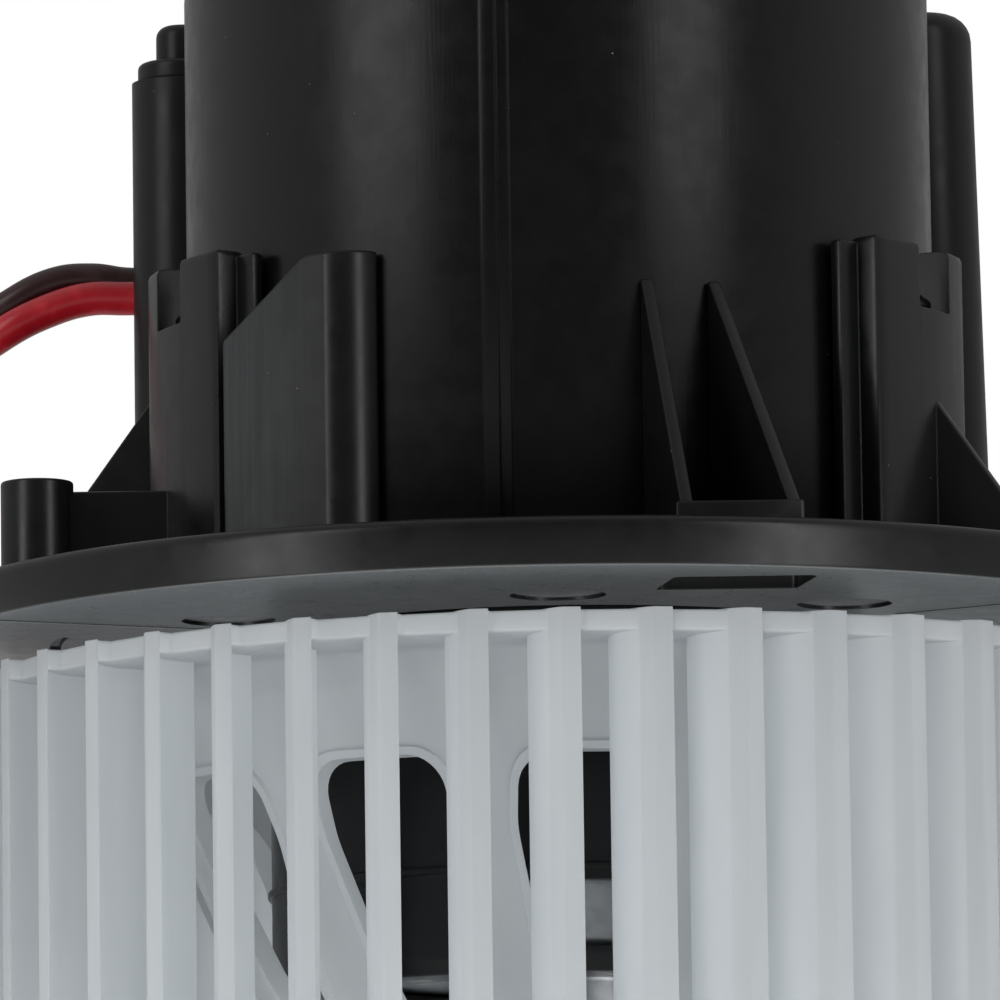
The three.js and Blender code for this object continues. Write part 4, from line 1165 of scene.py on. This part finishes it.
# ---------- floor, light and camera ----------
def floor():
    """A pale floor under the wheel; it can't be seen from below."""
    half = 12000
    level = WHEEL_BOTTOM - 0.05
    corners = [(-half, -half, level), (half, -half, level), (half, half, level), (-half, half, level)]
    piece = new_object("floor", corners, [(0, 1, 2, 3)])
    shader = Shader("floor")
    tone = shader.mixed(shader.noise(60, 3), grey(0.80), grey(0.83))
    unseen = shader.maths("SUBTRACT", 1.0, shader.node("ShaderNodeLightPath").outputs["Is Camera Ray"])
    glow = {"Emission Color": (1, 1, 1, 1), "Emission Strength": shader.times(unseen, 0.25)}
    pale = shader.principled(tone, 0.8, glow)
    clear = shader.node("ShaderNodeBsdfTransparent").outputs[0]
    under = shader.node("ShaderNodeNewGeometry").outputs["Backfacing"]
    surface = shader.node("ShaderNodeMixShader", {0: under, 1: pale, 2: clear}).outputs[0]
    piece.data.materials.append(shader.output(surface))


WORLD_FRONT = 0.15
WORLD_SIDE = 0.5
WORLD_BACK = 0.35


def surroundings():
    """White to the camera; for the light, dim in front of the object and brightest to its sides."""
    shader = Shader("studio", bpy.data.worlds)
    outwards = shader.split(shader.node("ShaderNodeTexCoord").outputs["Generated"])
    ramp = shader.node("ShaderNodeValToRGB", {0: shader.remap(outwards["Y"], -1, 1, 0, 1)})
    ramp.color_ramp.interpolation = "EASE"
    ends = ramp.color_ramp.elements
    ends[0].position, ends[0].color = 0.1, grey(WORLD_FRONT)
    ends[1].position, ends[1].color = 0.5, grey(WORLD_SIDE)
    last = ends.new(0.9)
    last.color = grey(WORLD_BACK)
    seen = shader.node("ShaderNodeLightPath").outputs["Is Camera Ray"]
    strength = shader.node("ShaderNodeMix", {0: seen, 2: ramp.outputs["Color"], 3: 1.0}).outputs[0]
    glow = {"Color": (1, 1, 1, 1), "Strength": strength}
    background = shader.node("ShaderNodeBackground", glow).outputs[0]
    shader.node("ShaderNodeOutputWorld", {"Surface": background})
    bpy.context.scene.world = shader.owner


def collected(name, names):
    group = bpy.data.collections.new(name)
    for piece in names:
        group.objects.link(bpy.data.objects[piece])
    return group


def softbox(name, place, size, strength, lit, blockers, tilt=90):
    """A light at (azimuth, distance, height) that faces the shaft and reaches only the pieces in `lit`.

    Only the pieces in `blockers` cast shadows in it. Tilt 90 is level and 180 points it upwards.
    """
    azimuth, distance, height = place
    light = bpy.data.lights.new(name, "AREA")
    light.shape = "RECTANGLE"
    light.size, light.size_y = size[0] * MM, size[1] * MM
    light.energy = strength * math.pi * light.size * light.size_y
    piece = in_scene(name, light)
    piece.location = (spot(distance, azimuth, height) + SEAT) * MM
    piece.rotation_euler = (math.radians(tilt), 0, math.radians(azimuth))
    piece.visible_camera = False
    piece.light_linking.receiver_collection = collected(name + "_lit", lit)
    piece.light_linking.blocker_collection = collected(name + "_blockers", blockers)


CAMERA_PLACE = (-7.875, -1185.75, -139.57)
CAMERA_PITCH = 7.59
CAMERA_ROLL = -0.80


def camera():
    data = bpy.data.cameras.new("camera")
    data.lens = 342.25
    data.sensor_width = 36
    data.clip_start = 0.05
    data.clip_end = 50
    piece = in_scene("camera", data)
    pitch = Matrix.Rotation(math.radians(90 + CAMERA_PITCH), 3, "X")
    roll = Matrix.Rotation(math.radians(CAMERA_ROLL), 3, "Z")
    piece.rotation_euler = (pitch @ roll).to_euler()
    piece.location = (Vector(CAMERA_PLACE) + SEAT) * MM
    bpy.context.scene.camera = piece


floor()
surroundings()
WHEEL = ["wheel_moulding"]
FLANGE = ["flange_moulding"]
UPPER = ["cover_shell", "duct_shell", "duct_cap", "red_lead", "dark_lead", "entry_grommet", "plug_shell"]
INNER = ["cradle_cup", "yoke_can", "spring_clip_1", "spring_clip_2", "spring_clip_3"]
softbox("upper_left", (-53, 450, 330), (210, 440), 2.2, UPPER, UPPER + FLANGE)
softbox("upper_right", (38, 450, 330), (170, 440), 2.2, UPPER, UPPER + FLANGE)
softbox("flange_left", (-49, 450, 60), (110, 720), 4.2, FLANGE, FLANGE)
softbox("flange_right", (38, 450, 60), (110, 720), 4.2, FLANGE, FLANGE)
softbox("lead_light", (-60, 400, -150), (300, 300), 1.6, ["red_lead", "dark_lead"], UPPER, 130)
softbox("wheel_front", (0, 700, -350), (900, 700), 2.2, WHEEL, WHEEL, 110)
softbox("wheel_left", (-80, 700, -150), (700, 900), 0.6, WHEEL, INNER)
softbox("wheel_right", (80, 700, -150), (700, 900), 0.6, WHEEL, INNER)
softbox("inner_light", (60, 400, -250), (300, 300), 2.0, INNER, INNER)
softbox("underside_fill", (0, 0, -500), (700, 700), 2.0, FLANGE, FLANGE, 180)
camera()
bpy.context.scene.view_settings.view_transform = "Standard"
